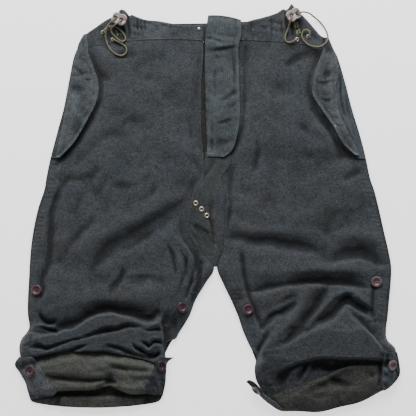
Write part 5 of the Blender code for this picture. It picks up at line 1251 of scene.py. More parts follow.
# the left turn-up's olive is painted darker, as painted shade
for side_name, sections, folds, finish in (
    ("right", RIGHT_TURNUP, RIGHT_TURNUP_FOLDS, OLIVE), ("left", LEFT_TURNUP, LEFT_TURNUP_FOLDS, PAINTED_SHADE_OLIVE)
):
    rows = section_rows(sections, TURNUP_STEP)
    top = panel_top(rows, eased_shares(TURNUP_COLUMNS), folds, turnup_dents, 1.0)
    top[..., 1] += turnup_edges(side_name, top[..., 0], np.linspace(0, 1, len(top))[:, None])
    add_cloth(side_name + "_turnup_cloth", top, WOOL_THICKNESS, finish, side_name + "_turnup_front",
              edge_drop=0.8, relief_height=2.0)

# %% [markdown]
# ## Waistbands
#
# Each waistband runs from its seam with the front up to the top edge, as a row of stations. Near the cords
# it is drawn up in gathers: sine waves whose height changes along it. On a part of each, the smooth cloth of
# the cord's casing shows.

# %% Tables of the waistbands
# x, top y, level
RIGHT_WAIST = [
    (-218.5, 281, 3.0), (-206.5, 295, 4.5), (-189.5, 307, 6.0), (-176, 316.5, 7.0), (-165, 322.5, 7.0),
    (-154, 327, 7.0), (-148.5, 336, 8.5), (-141, 335.5, 9.0), (-135.5, 330, 8.5), (-132.5, 326, 6.5),
    (-128.5, 328, 8.5), (-120, 324.5, 7.5), (-104.5, 319.5, 7.0), (-81, 317, 6.5), (-53.5, 312, 6.0),
    (-30, 309.5, 6.0), (-7, 312, 6.0),
]
LEFT_WAIST = [
    (3.5, 319.5, 5.5), (30, 319, 6.0), (55, 313.5, 6.0), (75.5, 319, 6.5), (96, 324, 7.0),
    (116.5, 330.5, 7.5), (128, 337.5, 8.5), (133.5, 336, 7.5), (138, 340, 8.5), (143, 346, 7.0),
    (150.5, 337, 7.0), (162, 326.5, 7.0), (172.5, 315, 7.0), (183, 303, 7.0), (191, 294, 6.5),
    (198, 290, 6.0), (206, 290, 6.0),
]
WAIST_FOLDS = {
    "right": [
        (4, 5, 1.8, [(-134, 327, -3), (-134.5, 312, -5), (-132.5, 300, -5), (-133.5, 288, -5),
            (-137, 279, -3)]),
        (4, 4, 1.7, [(-131, 311, -1), (-122.5, 307, -3), (-115, 305, -3), (-106, 303.5, -1)]),
        (3, 4, 1.7, [(-130, 297, -1), (-120, 294, -2.5), (-112, 291, -0.5)]),
        (4, 3, 1.7, [(-112, 316.5, -0.5), (-103, 314.5, -2), (-94, 309.5, -0.5)]),
        (6, 6, 2, [(-148, 304, -2), (-143, 296, -4), (-142, 286, -3)]),
        (3, 3, 2, [(-127, 289, 1), (-118, 288, 2), (-108, 291, 1)]),
        (3, 5, 1.7, [(-122, 326, -1), (-118, 312, -2.5), (-119, 300, -1)]),
        (3, 4, 1.7, [(-108, 320, -1), (-107, 308, -2), (-109, 298, -0.5)]),
        (3, 4, 2, [(-90, 311, 0), (-76, 309, -1.2), (-64, 306, 0)]),
    ],
    "left": [
        (5, 5, 1.8, [(131, 338, -3), (133, 322, -5), (135.5, 312, -4), (136.5, 300, -4), (134, 288, -2)]),
        (4, 4, 1.7, [(98, 319, 0), (112, 315, -2), (126, 312, -2)]),
        (4, 4, 1.7, [(103, 304, -0.5), (116, 300, -2.2), (129, 301, -1.5)]),
        (3, 4, 1.7, [(88, 310, 0), (96, 306, -1.6), (108, 309, 0)]),
        (3, 4, 1.7, [(122, 330, -1), (120, 316, -2.5), (123, 302, -1)]),
        (3, 4, 1.7, [(108, 324, -0.5), (109, 310, -2), (107, 296, -0.5)]),
        (5, 5, 2, [(172, 296, -1), (180, 290, -4), (186, 283, -4), (192, 279, -2)]),
        (4, 4, 2, [(150, 306, -1), (158, 296, -3), (160, 284, -2)]),
        (2.5, 2.5, 2, [(75, 314, -1), (74, 300, -2.0), (76, 288, -1.5)]),
        (4, 3.5, 2, [(197, 298, -4), (196.5, 290, -5), (198, 282, -5), (196, 274, -3)]),
    ],
}
# first x and last x of the gathers
GATHERS = {"right": (-156, -102), "left": (96, 152)}
# low x, high x, low y, high y
CASINGS = {"right": (-107, -66, 276, 316), "left": (160, 195, 268, 330)}

# %% [markdown]
# The heights are added up in layers: the level from the table, the gathers, uneven waves, the folds, and at
# the seam a blend into the front's own height with a shallow groove beside it.

# %% Waistbands
SEAM_GAP = 0.08
GATHER_PITCH = 8.0
GATHER_HEIGHT = 3.0
WAIST_STEP = 1.3
WAIST_ROWS = 34


def read_line(line, x):
    """The other columns of a line's points at each x."""
    line = line[np.argsort(line[:, 0])]
    return (np.interp(x, line[:, 0], column) for column in line[:, 1:].T)


def waistband_top(stations, seam, side_name):
    """From the seam, at the front's own height, up to the top edge at the stations' heights."""
    first_x, last_x = stations[0][0], stations[-1][0]
    x = np.linspace(first_x, last_x, int(abs(last_x - first_x) / WAIST_STEP))
    top_y, level = read_line(through(stations, np.linspace(0, len(stations) - 1, 40 * len(stations))), x)
    seam_y, seam_z = read_line(seam, x)
    seam_y, seam_z = seam_y + SEAM_GAP, seam_z - WOOL_THICKNESS
    first, last = GATHERS[side_name]
    inside = np.clip((x - first) / 8, 0, 1) * np.clip((last - x) / 8, 0, 1)
    share = np.linspace(1, 0, WAIST_ROWS)[:, None]
    y = seam_y + (top_y - seam_y) * share
    x = np.broadcast_to(x, y.shape)
    phase = (x - first + 5 * uneven(x, y, 24, 61, 60) + 3.0 * (share - 0.5)) / GATHER_PITCH
    wave = GATHER_HEIGHT * inside * np.sin(2 * np.pi * phase) * (0.6 + 0.5 * uneven(x, y, 15, 64, 30))
    z = level + wave * (0.35 + 0.65 * np.sin(np.pi * share)) + 0.5 * uneven(x, y, 16, 62, 9)
    z = z + 0.9 * inside * uneven(x, y, 5, 63, 14) + 0.5 * uneven(x, y, 4, 65, 22) + 0.5 * uneven(x, y, 7, 66)
    z = z + fold_heights(x, y, WAIST_FOLDS[side_name], 0.8)
    near_seam = np.exp(-(y - seam_y) / 12)
    groove = 0.15 * np.clip(0.5 + uneven(x, 0 * y, 22, 67), 0, 1)
    z = seam_z * near_seam + z * (1 - near_seam) - groove * bell(y - seam_y - 2.5, 1.6)
    top_edge = np.clip((share - 0.88) / 0.12, 0, 1)
    return np.stack([x, y, np.maximum(z - 1.5 * top_edge**2, RIM_Z) + WOOL_THICKNESS], axis=2)


for side_name, stations in (("right", RIGHT_WAIST), ("left", LEFT_WAIST)):
    low_x, high_x, low_y, high_y = CASINGS[side_name]
    top = waistband_top(stations, tops[side_name + "_front_cloth"][0], side_name)
    add_cloth(side_name + "_waistband_cloth", top, WOOL_THICKNESS, WOOL, side_name + "_waistband",
              edge_drop=0.8, free_edges="tlr",
              patch=(CASING, lambda x, y: (x > low_x) & (x < high_x) & (y > low_y) & (y < high_y)))

# %% [markdown]
# ## Seam bands
#
# The side and inner seams are felled: their allowances are sewn down flat on the front as a band 22 mm wide,
# which puckers between its two rows of stitches like the rungs of a ladder. Each band is made from its
# front's own surface, moved out by its thickness, and it sinks into the front at both ends.

# %% Seam bands
BAND_THICKNESS = 1.2
BAND_TAPER = 22.0
BAND_WIDTH = 22.0
BAND_COLUMNS = 19
PUCKER_PITCH = 7.5
# kind, name's ending, column of the table that holds its edge's y, upper y, lower y
BANDS = [("outer", "_outer_seam", 1, 92, -200), ("inseam", "_inseam_band", 3, -90, -205)]
for side_name, sections, folds in (("right", RIGHT_FRONT, RIGHT_FOLDS), ("left", LEFT_FRONT, LEFT_FOLDS)):
    rows = section_rows(sections, 1.5)
    for kind, ending, at, band_top, band_end in BANDS:
        chosen = rows[(rows[:, at] < band_top) & (rows[:, at] > band_end)]
        width = np.abs(chosen[:, 2] - chosen[:, 0])[:, None]
        inset = np.linspace(0.0, BAND_WIDTH, BAND_COLUMNS)[None, :] / width
        top = panel_top(chosen, inset if kind == "outer" else 1 - inset[:, ::-1], folds, thigh_dents)
        along = run_lengths(top, 0)
        from_end = np.minimum(along, along[-1:] - along)
        sunk = 0.9 * (1 - np.clip(from_end / 7, 0, 1))
        base = top.copy()
        base[..., 2] += 0.02 - sunk
        across = np.linspace(0, 1, BAND_COLUMNS)[None, :]
        pucker = np.sin(2 * np.pi * (along + 5 * uneven(along, 0 * along, 30, 71)) / PUCKER_PITCH)
        pucker = pucker * np.sin(np.pi * across) ** 1.5
        pucker = pucker * np.clip(0.45 + 0.55 * uneven(along, 40 * across, 24, 72), 0.1, 1)
        top[..., 2] += 0.04 + smooth_step(from_end / BAND_TAPER) * (BAND_THICKNESS + 0.55 * pucker) - sunk
        name = side_name + ending
        add_cloth(name + "_cloth", top, BAND_THICKNESS, WOOL, name, bottom=base,
                  relief_height=0.8, free_edges="lr")

# %% [markdown]
# ## The fly
#
# The placket is a smooth strip of cloth with a curved lower end, laid over the edges of the fronts and the
# waistbands. Beside it a strip of the underlap shows. A belt loop is sewn on the left waistband.

# %% Fly underlap
THIN = 1.2
SMOOTH = 1.4
y = np.linspace(284, 97, 106)[:, None]
left = inner_edge("right", y, 0) + 0.5
x = left + (1.2 - left) * np.linspace(0, 1, 9)[None, :]
y = np.broadcast_to(y, x.shape)
top = np.stack([x, y, 2.4 + THIN + 0.3 * uneven(x, y, 12, 81) + 0.5 * uneven(x, y, 3, 83, 60)], axis=2)
add_cloth("fly_underlap_cloth", top, THIN, UNDERLAP, "fly_underlap", edge_drop=0.4)

# %% [markdown]
# Every smooth piece is made in the same way: a flat grid is laid on what is there, then low waves and its
# own folds are added. The placket's free edge stands up a little, with a groove 8 mm inside it where it is
# topstitched.

# %% Fly placket and belt loop
# left x, left y, right x, right y, bow
PLACKET_ROWS = [
    (1, 327, 57, 319, 3), (-3, 296, 57, 296, 0), (-4.2, 272, 52.5, 272, 0), (-4.6, 235, 53.5, 235, 0),
    (-3.6, 190, 54.5, 190, 0), (-2.5, 150, 54.5, 150, 0), (-1.5, 122, 50, 122, 0), (-1, 105, 45, 105, 0),
    (-0.5, 95, 38, 94, 0), (0, 88, 28, 87, 0),
]
PLACKET_FOLDS = [
    (2, 2.5, 2, [(-2, 288, -0.6), (8, 287, -1.6), (18, 283, -1.8), (26, 280, -0.6)]),
    (2, 2, 2, [(0, 295, -0.2), (20, 294, -0.5), (46, 290, -0.3)]),
    (3, 3, 2, [(12, 274, 0.2), (22, 273, 1.2), (36, 275, 1.0), (46, 276, 0.2)]),
    (2.5, 3, 2, [(4, 267, -0.6), (16, 268, -1.8), (30, 270, -2.6), (42, 273, -2.2), (47, 274, -0.6)]),
    (3, 3, 2, [(8, 258, 0), (18, 256, -0.8), (30, 259, 0)]),
    (3, 3, 2, [(12, 144, 0), (22, 144, -1.6), (34, 148, -1.8), (44, 153, 0)]),
    (3.5, 3.5, 2, [(18, 182, 0), (30, 186, -1.2), (42, 194, -1.3), (50, 200, 0)]),
    (4, 4, 2, [(26, 168, 0), (38, 172, -1.0), (50, 178, 0)]),
    (2, 2, 2, [(7, 142, -0.4), (7, 124, -1.0), (7, 108, -1.0), (8, 98, -0.4)]),
    (4, 4, 2, [(16, 116, 0), (30, 112, -0.9), (42, 118, 0)]),
    (3, 3, 2, [(12, 246, 0), (13, 226, -0.7), (12, 206, -0.7), (14, 186, 0)]),
    (3, 3, 2, [(46, 262, -0.3), (46.5, 240, -0.8), (46, 214, -0.8), (45, 190, 0)]),
]
BELT_LOOP_ROWS = [(63, 313, 69, 314, 0), (63, 300, 69, 300, 0), (63, 287, 69, 287, 0)]

top = laid_on(flat_grid(PLACKET_ROWS, 1.7), SMOOTH, 0.3, soften=4)
x, y = top[..., 0], top[..., 1]
from_right = from_edges(top)["r"]
top[..., 2] += 0.8 + 0.5 * uneven(x, y, 30, 82, 12) + 0.15 * uneven(x, y, 6, 84)
top[..., 2] += fold_heights(x, y, PLACKET_FOLDS, 0.8)
top[..., 2] += 1.8 * np.exp(-from_right / 7) - 0.45 * bell(from_right - 8, 1.2)
add_cloth("fly_placket_cloth", top, SMOOTH, PLACKET, "fly_placket", edge_drop=0.7,
          relief_height=0.8)
top = laid_on(flat_grid(BELT_LOOP_ROWS, 1.0), THIN, 0.6)
add_cloth("belt_loop_cloth", top, THIN, WOOL, "belt_loop", edge_drop=0.5)

# %% [markdown]
# ## Pockets
#
# Each side pocket has a bag that shows as a strip at the side, and a long curved flap of smooth cloth over
# it whose free edge stands a little off the front and throws a shadow.

# %% Tables of the pockets
# left x, left y, right x, right y, bow
RIGHT_BAG = [
    (-239, 190, -220, 190, 0), (-245, 163, -223.5, 163, 0), (-250.5, 143, -230.5, 143, 0),
    (-257.5, 116, -237, 116, 0), (-263, 95, -247.5, 95, 0), (-265.5, 85, -254, 85, 0),
]
LEFT_BAG = [
    (212, 246, 223.5, 246, 0), (210, 224, 229.5, 224, 0), (208, 197, 237, 197, 0), (211.5, 170, 244, 170, 0),
    (222, 143, 252, 143, 0), (239, 116, 260, 116, 0), (247.5, 95, 265.5, 95, 0), (256, 84, 268, 84, 0),
]
RIGHT_FLAP = [
    (-210.5, 294, -204.5, 296, 0), (-219, 278, -203, 278, 0), (-223, 262, -202, 262, 0),
    (-229.5, 240, -194, 240, 0), (-234, 216, -185.5, 216, 0), (-238, 197, -185, 197, 0),
    (-240, 175, -190.5, 175, 0), (-245, 150, -203.5, 150, 0), (-249, 129, -215, 129, 0),
    (-252.5, 109, -228, 109, 0), (-256, 92, -244, 92, 0), (-257, 86, -250, 86, 0),
]
LEFT_FLAP = [
    (200, 288, 205.5, 288, 0), (197, 274, 212, 274, 0), (191, 255, 220, 255, 0), (183, 233, 223, 233, 0),
    (178.5, 211, 218.5, 211, 0), (178, 194, 219, 194, 0), (187, 177, 220, 177, 0), (200, 158, 224.5, 158, 0),
    (213.5, 138, 234, 138, 0), (228, 112, 247.5, 112, 0), (244, 95, 255, 95, 0), (250.5, 90, 256, 90, 0),
]
FLAP_FOLDS = {
    "right": [
        (2.5, 3, 2, [(-229, 244, -0.6), (-221, 236, -1.6), (-213, 229, -1.6), (-204, 229, -0.6)]),
        (2.5, 2.5, 2, [(-232, 226, 0), (-220, 225, -1.2), (-208, 226, 0)]),
        (1.8, 1.8, 2, [(-208, 218.5, -0.6), (-202, 217, -1.6), (-195, 218, -0.6)]),
        (4, 4, 2, [(-236, 200, 0), (-222, 204, -1.0), (-206, 200, 0)]),
        (4, 4, 2, [(-236, 168, 0), (-222, 172, -0.9), (-208, 166, 0)]),
        (3, 4, 2, [(-214, 268, 0), (-212, 254, -1.2), (-204, 242, 0)]),
        (3, 3, 2, [(-246, 118, 0), (-242, 106, -1.2), (-247, 94, -0.5)]),
    ],
    "left": [
        (2, 3, 2, [(184, 214, -0.8), (196, 212, -1.6), (208, 214, -1.6), (220, 216, -0.8)]),
        (7, 7, 2, [(190, 230, -0.8), (206, 227, -1.8), (222, 226, -1.2)]),
        (2, 2.5, 2, [(192, 186, -0.6), (200, 182, -2.0), (207, 182, -2.0), (212, 185.5, -0.6)]),
        (2.5, 3, 2, [(214, 216, -0.8), (216, 200, -1.8), (218, 184, -1.8), (220, 166, -0.8)]),
        (5, 5, 2, [(196, 204, 0.3), (204, 198, 1.0), (208, 190, 0.3)]),
        (2, 3, 2, [(208, 158, 0), (217, 153, -1.2), (224, 152, -0.5)]),
        (2, 3, 2, [(215, 143, 0), (224, 139, -1.4), (231, 140, -0.5)]),
        (3, 3, 2, [(240, 116, 0), (243, 106, -1.2), (250, 96, -0.5)]),
    ],
}
BAG_FOLDS = {
    "right": [
        (2, 2.5, 2, [(-244, 160, -0.5), (-249, 130, -1.2), (-256, 96, -0.5)]),
    ],
    "left": [
        (2, 2.5, 2, [(226, 236, -0.5), (226.5, 212, -1.8), (227.5, 182, -1.8), (234, 156, -0.8)]),
        (2, 2.5, 2, [(233, 206, 0), (237, 176, -1.5), (244, 146, -1.5), (250, 118, -0.5)]),
        (2, 2, 2, [(226, 160, 0), (234, 140, -1.4), (242, 122, -1.4), (250, 104, -0.5)]),
    ],
}

# %% [markdown]
# The bag goes down first, in crumples that die out at its edges. The flap's lift is one at its free edge and
# falls off over 9 mm, and it is higher at the lower end, where the flap isn't sewn down.

# %% Pockets
for side_name, bag_rows, flap_rows, free_edge in (
    ("right", RIGHT_BAG, RIGHT_FLAP, "r"), ("left", LEFT_BAG, LEFT_FLAP, "l")
):
    top = laid_on(flat_grid(bag_rows, 1.5), THIN, 0.8)
    x, y = top[..., 0], top[..., 1]
    ways = from_edges(top)
    inside = np.clip(np.minimum(ways["l"], ways["r"]) / 4, 0, 1)
    crumples = 0.9 * uneven(x, y, 5, 91, 50, 0) + fold_heights(x, y, BAG_FOLDS[side_name], 0.6)
    top[..., 2] += 1.1 + inside * crumples
    add_cloth(side_name + "_pocket_bag_cloth", top, THIN, BAG, side_name + "_pocket_bag",
              edge_drop=0.4, relief_height=0.8)
    top = laid_on(flat_grid(flap_rows, 1.4), SMOOTH, 0.35, soften=4)
    x, y = top[..., 0], top[..., 1]
    from_free = from_edges(top)[free_edge]
    lift = np.exp(-from_free / 9) * (1 + np.clip((190 - y) / 90, 0, 1) * 0.6)
    top[..., 2] += 1.0 + 3.8 * lift + 0.6 * uneven(x, y, 24, 92, 14) + 0.22 * uneven(x, y, 8, 93)
    top[..., 2] += 0.1 * uneven(x, y, 3.5, 94) + 0.75 * fold_heights(x, y, FLAP_FOLDS[side_name], 0.6)
    top[..., 2] -= (0.6 + 0.3 * uneven(x, y, 9, 95)) * bell(from_free - 8, 1.1)
    add_cloth(side_name + "_pocket_flap_cloth", top, SMOOTH, FLAP, side_name + "_pocket_flap",
              edge_drop=0.7, relief_height=0.8)

# %% [markdown]
# ## Cuff tabs
#
# Four tabs hold the rolled legs up. Three lie on the cuffs, crumpled more or less: the number beside each is
# the height of its waves. The fourth, at the left leg's inner side, stands on edge between its low and its
# high edge.

# %% Tabs
# left x, left y, right x, right y, bow
RIGHT_OUTER_TAB = [
    (-319, -252, -297, -251, 0), (-327.5, -266, -286, -263, 0), (-318, -281, -276, -280, 0),
    (-309, -297, -267, -297, 0), (-305, -312, -255, -311, 0), (-301, -325, -264, -320, 0),
]
RIGHT_INNER_TAB = [
    (-83, -252, -57, -254, 0), (-88, -260, -68, -263, 0), (-94, -277, -70, -280, 0),
    (-103, -296, -71.5, -299, 0), (-112, -314, -76, -319, 0),
]
LEFT_OUTER_TAB = [
    (300, -243, 321, -244, 0), (297.5, -258, 325, -260, 0), (296, -275, 327.2, -279, 0),
    (296, -292, 320, -294, 0), (296, -310, 303, -309, 0),
]
# low x, low y, low z, high x, high y, high z
LEFT_INNER_TAB = [
    (65.5, -294, 10, 70, -291, 13), (76, -304, 5, 82, -297, 14), (90, -319, 3, 98, -316, 17),
    (108, -334, 2.4, 115, -328, 16), (124, -344, 2.4, 128, -341, 9),
]
CURLED_ROWS = 52
CURLED_COLUMNS = 14
# the tabs' finishes paint light and shade: the right outer tab paler, the other tabs darker
for name, rows, cuff, finish, crumple in (
    ("right_outer_tab", RIGHT_OUTER_TAB, "right", TAB, 1.0),
    ("right_inner_tab", RIGHT_INNER_TAB, "right", SHADED_TAB, 1.9),
    ("left_outer_tab", LEFT_OUTER_TAB, "left", HALF_SHADE_TAB, 3.0),
):
    top = laid_on(flat_grid(rows, 1.2), SMOOTH, 0.8)
    x, y = top[..., 0], top[..., 1]
    waves = 0.8 * uneven(x, y, 9, 101) + 0.5 * uneven(x, y, 4.5, 103, 9, 30)
    top[..., 2] += 0.8 * crumple + crumple * waves
    add_cloth(name + "_cloth", top, SMOOTH, finish, name, edge_drop=0.7,
              relief_height=0.8)
table = through(LEFT_INNER_TAB, np.linspace(0, len(LEFT_INNER_TAB) - 1, CURLED_ROWS))[:, None]
share = np.linspace(0, 1, CURLED_COLUMNS)[None, :, None]
curled = table[..., :3] + (table[..., 3:] - table[..., :3]) * share
curled_normals = normals_of(curled)
curl = 0.6 * np.sin(np.pi * share) + 0.3 * uneven(curled[..., 0], curled[..., 2], 7, 102)[..., None]
top = curled + curled_normals * (SMOOTH + curl)
add_cloth("left_inner_tab_cloth", top, SMOOTH, SHADED_TAB, "left_inner_tab",
          bottom=curled + curled_normals * curl)

# %% [markdown]
# ## Stitches
#
# Topstitching is a row of short threads, each a little capsule that lies in the cloth: three rings of five
# points and a point at each end. A row follows a line on the cloth, and every capsule is set along the
# line's direction, so all the stitches of one piece are made as one array. Bar tacks are the same capsules
# laid close side by side.

# %% Stitches
RING_AT = np.array([-0.34, 0.0, 0.34])
RING_WIDE = np.array([0.72, 1.0, 0.72])
SIDES = 5
CAPSULE_POINTS = 3 * SIDES + 2


def capsules(centres, runs, ups, length, width):
    """Capsules at the centres, along runs, flattened towards ups: ring k is the centre + its place along the
    run + width times (cosine of the turn along the side direction + 0.6 sine of it along up)."""
    sides = unit(np.cross(runs, ups))
    angle = np.arange(SIDES) * 2 * np.pi / SIDES
    along = RING_AT[None, :, None, None] * length * runs[:, None, None]
    wide = RING_WIDE[None, :, None, None] * width / 2
    turn = np.cos(angle)[:, None] * sides[:, None, None] + 0.6 * np.sin(angle)[:, None] * ups[:, None, None]
    rings = centres[:, None, None] + along + wide * turn
    ends = centres[:, None] + np.array([-0.5, 0.5])[None, :, None] * length * runs[:, None]
    points = np.concatenate([rings.reshape(len(centres), 3 * SIDES, 3), ends], axis=1)
    k = np.arange(SIDES)
    n = (k + 1) % SIDES
    wall = np.stack([k, n, n + SIDES, k + SIDES], axis=1)
    quads = np.concatenate([wall, wall + SIDES])
    start_fan = np.stack([n, k, np.full(SIDES, 3 * SIDES)], axis=1)
    end_fan = np.stack([k + 2 * SIDES, n + 2 * SIDES, np.full(SIDES, 3 * SIDES + 1)], axis=1)
    shift = CAPSULE_POINTS * np.arange(len(centres))[:, None, None]
    fans = np.concatenate([start_fan, end_fan])[None] + shift
    return points.reshape(-1, 3), (quads[None] + shift).reshape(-1, 4), fans.reshape(-1, 3)


def stitch_row(line, pitch=3.4):
    """Stitches along a line on the cloth: their centres, runs and ups."""
    path = evenly(np.asarray(line, float), pitch)
    runs = unit(np.diff(path, axis=0))
    return (path[1:] + path[:-1]) / 2, runs, unit(np.array((0, 0, 1.0)) - runs * runs[:, 2:])


def inset_line(top, side, distance, start, end):
    """A line on a piece's upper face, at a distance from one of its edges, from one share of its way to
    another."""
    grid = {"l": top, "r": top[:, ::-1], "t": top.swapaxes(0, 1), "b": top.swapaxes(0, 1)[:, ::-1]}[side]
    line = np.concatenate([picked(away, [distance], row) for away, row in zip(run_lengths(grid, 1), grid)])
    return line[int(start * len(line)):max(int(end * len(line)), 2)]


def sewn(piece, sides, distance, start=0.0, end=1.0, pitch=3.4):
    """A row of stitches along each of these edges of a piece."""
    top = tops[piece + "_cloth"]
    return [stitch_row(inset_line(top, side, distance, start, end), pitch) for side in sides]


def bar_tack(x, y, run_x, run_y, threads):
    """Threads side by side along a short line through x, y, each square to that line."""
    at = np.linspace(-0.5, 0.5, threads)
    x, y = x + at * run_x, y + at * run_y
    centres = np.stack([x, y, read_map(ground, x, y) + 0.1], axis=1)
    run = np.array((-run_y, run_x, 0.0)) / math.hypot(run_x, run_y)
    return centres, np.tile(run, (threads, 1)), np.tile((0, 0, 1.0), (threads, 1))


def add_stitches(name, rows, finish, length=2.5, width=0.62):
    """All the stitches of some rows as one piece."""
    centres, runs, ups = (np.concatenate(parts) for parts in zip(*rows))
    points, quads, fans = capsules(centres + 0.08 * ups, runs, ups, length, width)
    make_piece(name, points, [quads, fans], [finish])
    print(name, len(centres), "stitches")


# %% [markdown]
# The threads are grey along the edges, and bluish, pale, brown or yellow-green at the tacks. Each row is
# named by its piece, the edges that it follows, its distance from them, and where it starts and ends.

# %% Threads and rows


def thread_material(name, dark, pale):
    """Thread whose fibres drift from dark to pale."""
    return clouded(name, 0.7, dark, pale, (700, 1), sheen=0.1)[0]


GREY_THREAD = thread_material("grey_thread", (0.010, 0.013, 0.018), (0.06, 0.066, 0.072))
PALE_THREAD = thread_material("pale_thread", (0.28, 0.31, 0.31), (0.5, 0.54, 0.54))
BLUISH_THREAD = thread_material("bluish_thread", (0.09, 0.12, 0.13), (0.2, 0.25, 0.26))
BROWN_THREAD = thread_material("brown_thread", (0.10, 0.05, 0.03), (0.22, 0.12, 0.07))
GREEN_THREAD = thread_material("yellow_green_thread", (0.24, 0.29, 0.09), (0.50, 0.56, 0.24))

rows = []
for side_name, free_edge in (("right", "r"), ("left", "l")):
    flap = side_name + "_pocket_flap"
    rows += sewn(flap, free_edge, 7.5, 0.05, 0.9) + sewn(flap, free_edge, 2.2, 0.04, 0.95)
rows += sewn("fly_placket", "r", 8.0, 0.04, 0.93) + sewn("fly_placket", "r", 2.4, 0.02, 0.97)
rows += sewn("fly_placket", "l", 5.5, 0.5, 0.97) + sewn("fly_placket", "t", 20.0)
for name in ("right_outer_tab", "right_inner_tab", "left_outer_tab"):
    rows += sewn(name, "lrb", 3.0, 0.06, 0.94)
for side_name in ("right", "left"):
    rows += sewn(side_name + "_waistband", "t", 4.0)
    for ending in ("_outer_seam", "_inseam_band"):
        rows += sewn(side_name + ending, "lr", 3.0, 0.07, 0.93, 3.8)
add_stitches("topstitching", rows, GREY_THREAD)

# x, y, the run of the tack in x and in y, threads
PLACKET_TACKS = [(5.0, 92, 10.5, 0, 13)]
POCKET_TACKS = [(216.5, 139, 1.6, -2.4, 3)]
WAIST_TACKS = [
    (148.5, 310, 1.6, -9, 7), (152.5, 311, 1.6, -9, 7), (152.0, 298.5, 2, -7, 6), (156.0, 300.5, 2, -7, 6),
    (-153.5, 297, 2.5, -9, 7),
]
TACK_LEGS = [
    (148.5, 310, 2.0, 0.3, 2), (152.5, 311, 2.0, 0.3, 2), (152.0, 298.5, 2.0, 0.5, 2),
    (156.0, 300.5, 2.0, 0.5, 2),
]
loose_line = [(45, y, read_map(ground, 45.0, y) + 0.1) for y in (271.0, 263.0, 255.0)]
for name, rows, thread, length, width in (
    ("placket_bar_tack", [bar_tack(*tack) for tack in PLACKET_TACKS], BLUISH_THREAD, 3.4, 0.75),
    ("pocket_end_stitch", [bar_tack(*tack) for tack in POCKET_TACKS], PALE_THREAD, 4.4, 0.8),
    ("placket_thread", [stitch_row(loose_line)], BROWN_THREAD, 2.6, 0.9),
    ("waist_bar_tacks", [bar_tack(*tack) for tack in WAIST_TACKS], GREEN_THREAD, 3.6, 0.85),
    ("waist_tack_legs", [bar_tack(*tack) for tack in TACK_LEGS], GREEN_THREAD, 8.5, 0.7),
):
    add_stitches(name, rows, thread, length, width)

# %% [markdown]
# ## Buttons, stud and eyelets
#
# A button is a turned disc with a raised rim and four holes in its dished middle. A turned piece is its
# profile swept round: x and y are the radius times the cosine and sine of the turn. The holes are deep round
# dips in that height. Each is set on the cloth below it and tilted with it.

# %% Turned pieces


def seat(x, y, radius):
    """Where a flat base of this radius rests: its middle, and the direction square to the cloth."""
    reach = radius * np.repeat((0.4, 0.8, 1.0), 24)
    dx, dy = reach * np.cos(np.tile(circle(24), 3)), reach * np.sin(np.tile(circle(24), 3))
    z = read_map(ground, x + dx, y + dy)
    slope_x, slope_y, _ = np.linalg.lstsq(np.c_[dx, dy, np.ones(len(dx))], z, rcond=None)[0]
    height = (z - slope_x * dx - slope_y * dy).max() + 0.15
    return np.array((x, y, height)), unit(np.array((-slope_x, -slope_y, 1.0)))


def turned(name, profile, sides, centre, up, finishes, node, pits=(), dark_inside=0.0):
    """A turned piece: radius times cosine and sine of the turn, at the profile's height, less the pits.
    Inside the radius dark_inside its upper side has the second finish."""
    radius, height = np.array(profile, float).T[:, :, None]
    u, v = radius * np.cos(circle(sides)), radius * np.sin(circle(sides))
    w = height + 0 * u
    for pit_u, pit_v, pit_radius, depth in pits:
        w = w - depth * bell(np.hypot(u - pit_u, v - pit_v), pit_radius, 4) * (height > profile[-1][1] + 0.9)
    side = unit(np.cross((0.0, 1.0, 0.0), up))
    body = centre + u[..., None] * side + v[..., None] * np.cross(up, side) + w[..., None] * up
    points, faces = ring_form(body[0, 0], body[1:-1], body[-1, 0])
    finish_of = None
    if dark_inside:
        upper = np.arange(len(body) - 3) < (len(body) - 2) // 2
        dark = np.repeat((radius[2:-1, 0] <= dark_inside) & upper, sides)
        finish_of = np.concatenate([dark, np.ones(sides), np.zeros(sides)])
    make_piece(name, points, faces, finishes, node, finish_of=finish_of)


# %% [markdown]
# The buttons are of a burgundy plastic, in three shades of painted light: most are mid, two are painted
# paler as a painted highlight, and one is painted darker as painted shade, in the shade of its tab. The
# eyelets and the stud are of worn brass, and a second finish, a painted shadow, makes the eyelets' holes
# dark.

# %% Button and metal finishes


def button_finish(name, dark, pale):
    """Clouded, slightly glossy plastic."""
    material, shading, shader, clouds = clouded(name, 0.42, dark, pale, (260, 3, 0.6, 0.6), (0.3, 0.7),
                                                Specular_IOR_Level=0.5)
    bumped(shading, shader, clouds, 0.25, 0.0003)
    return material


BURGUNDY = button_finish("burgundy_button", (0.036, 0.011, 0.018), (0.095, 0.043, 0.052))
HIGHLIT_BURGUNDY = button_finish("highlit_burgundy_button", (0.075, 0.042, 0.052), (0.17, 0.11, 0.12))
SHADED_BURGUNDY = button_finish("shaded_burgundy_button", (0.014, 0.006, 0.012), (0.045, 0.02, 0.03))
BRASS, shading, shader, tarnish = clouded("worn_brass", 0.38, (0.80, 0.72, 0.55), (0.45, 0.36, 0.2),
                                          (500, 3, 0.6), (0.4, 0.7), Metallic=0.9)
shading.feed(shading.stretch(tarnish, 0.3, 0.7, 0.28, 0.55), shader.inputs["Roughness"])
EYELET_SHADOW = clouded("eyelet_shadow", 1.0, (0.004, 0.004, 0.004), (0.02, 0.02, 0.02), (800, 1))[0]

# %% [markdown]
# A profile is a list of radius and height from the middle of the top, over the rim, to the middle of the
# base. The curled tab's button takes its place from the frame, because its tab stands on edge and the map
# holds only tops.

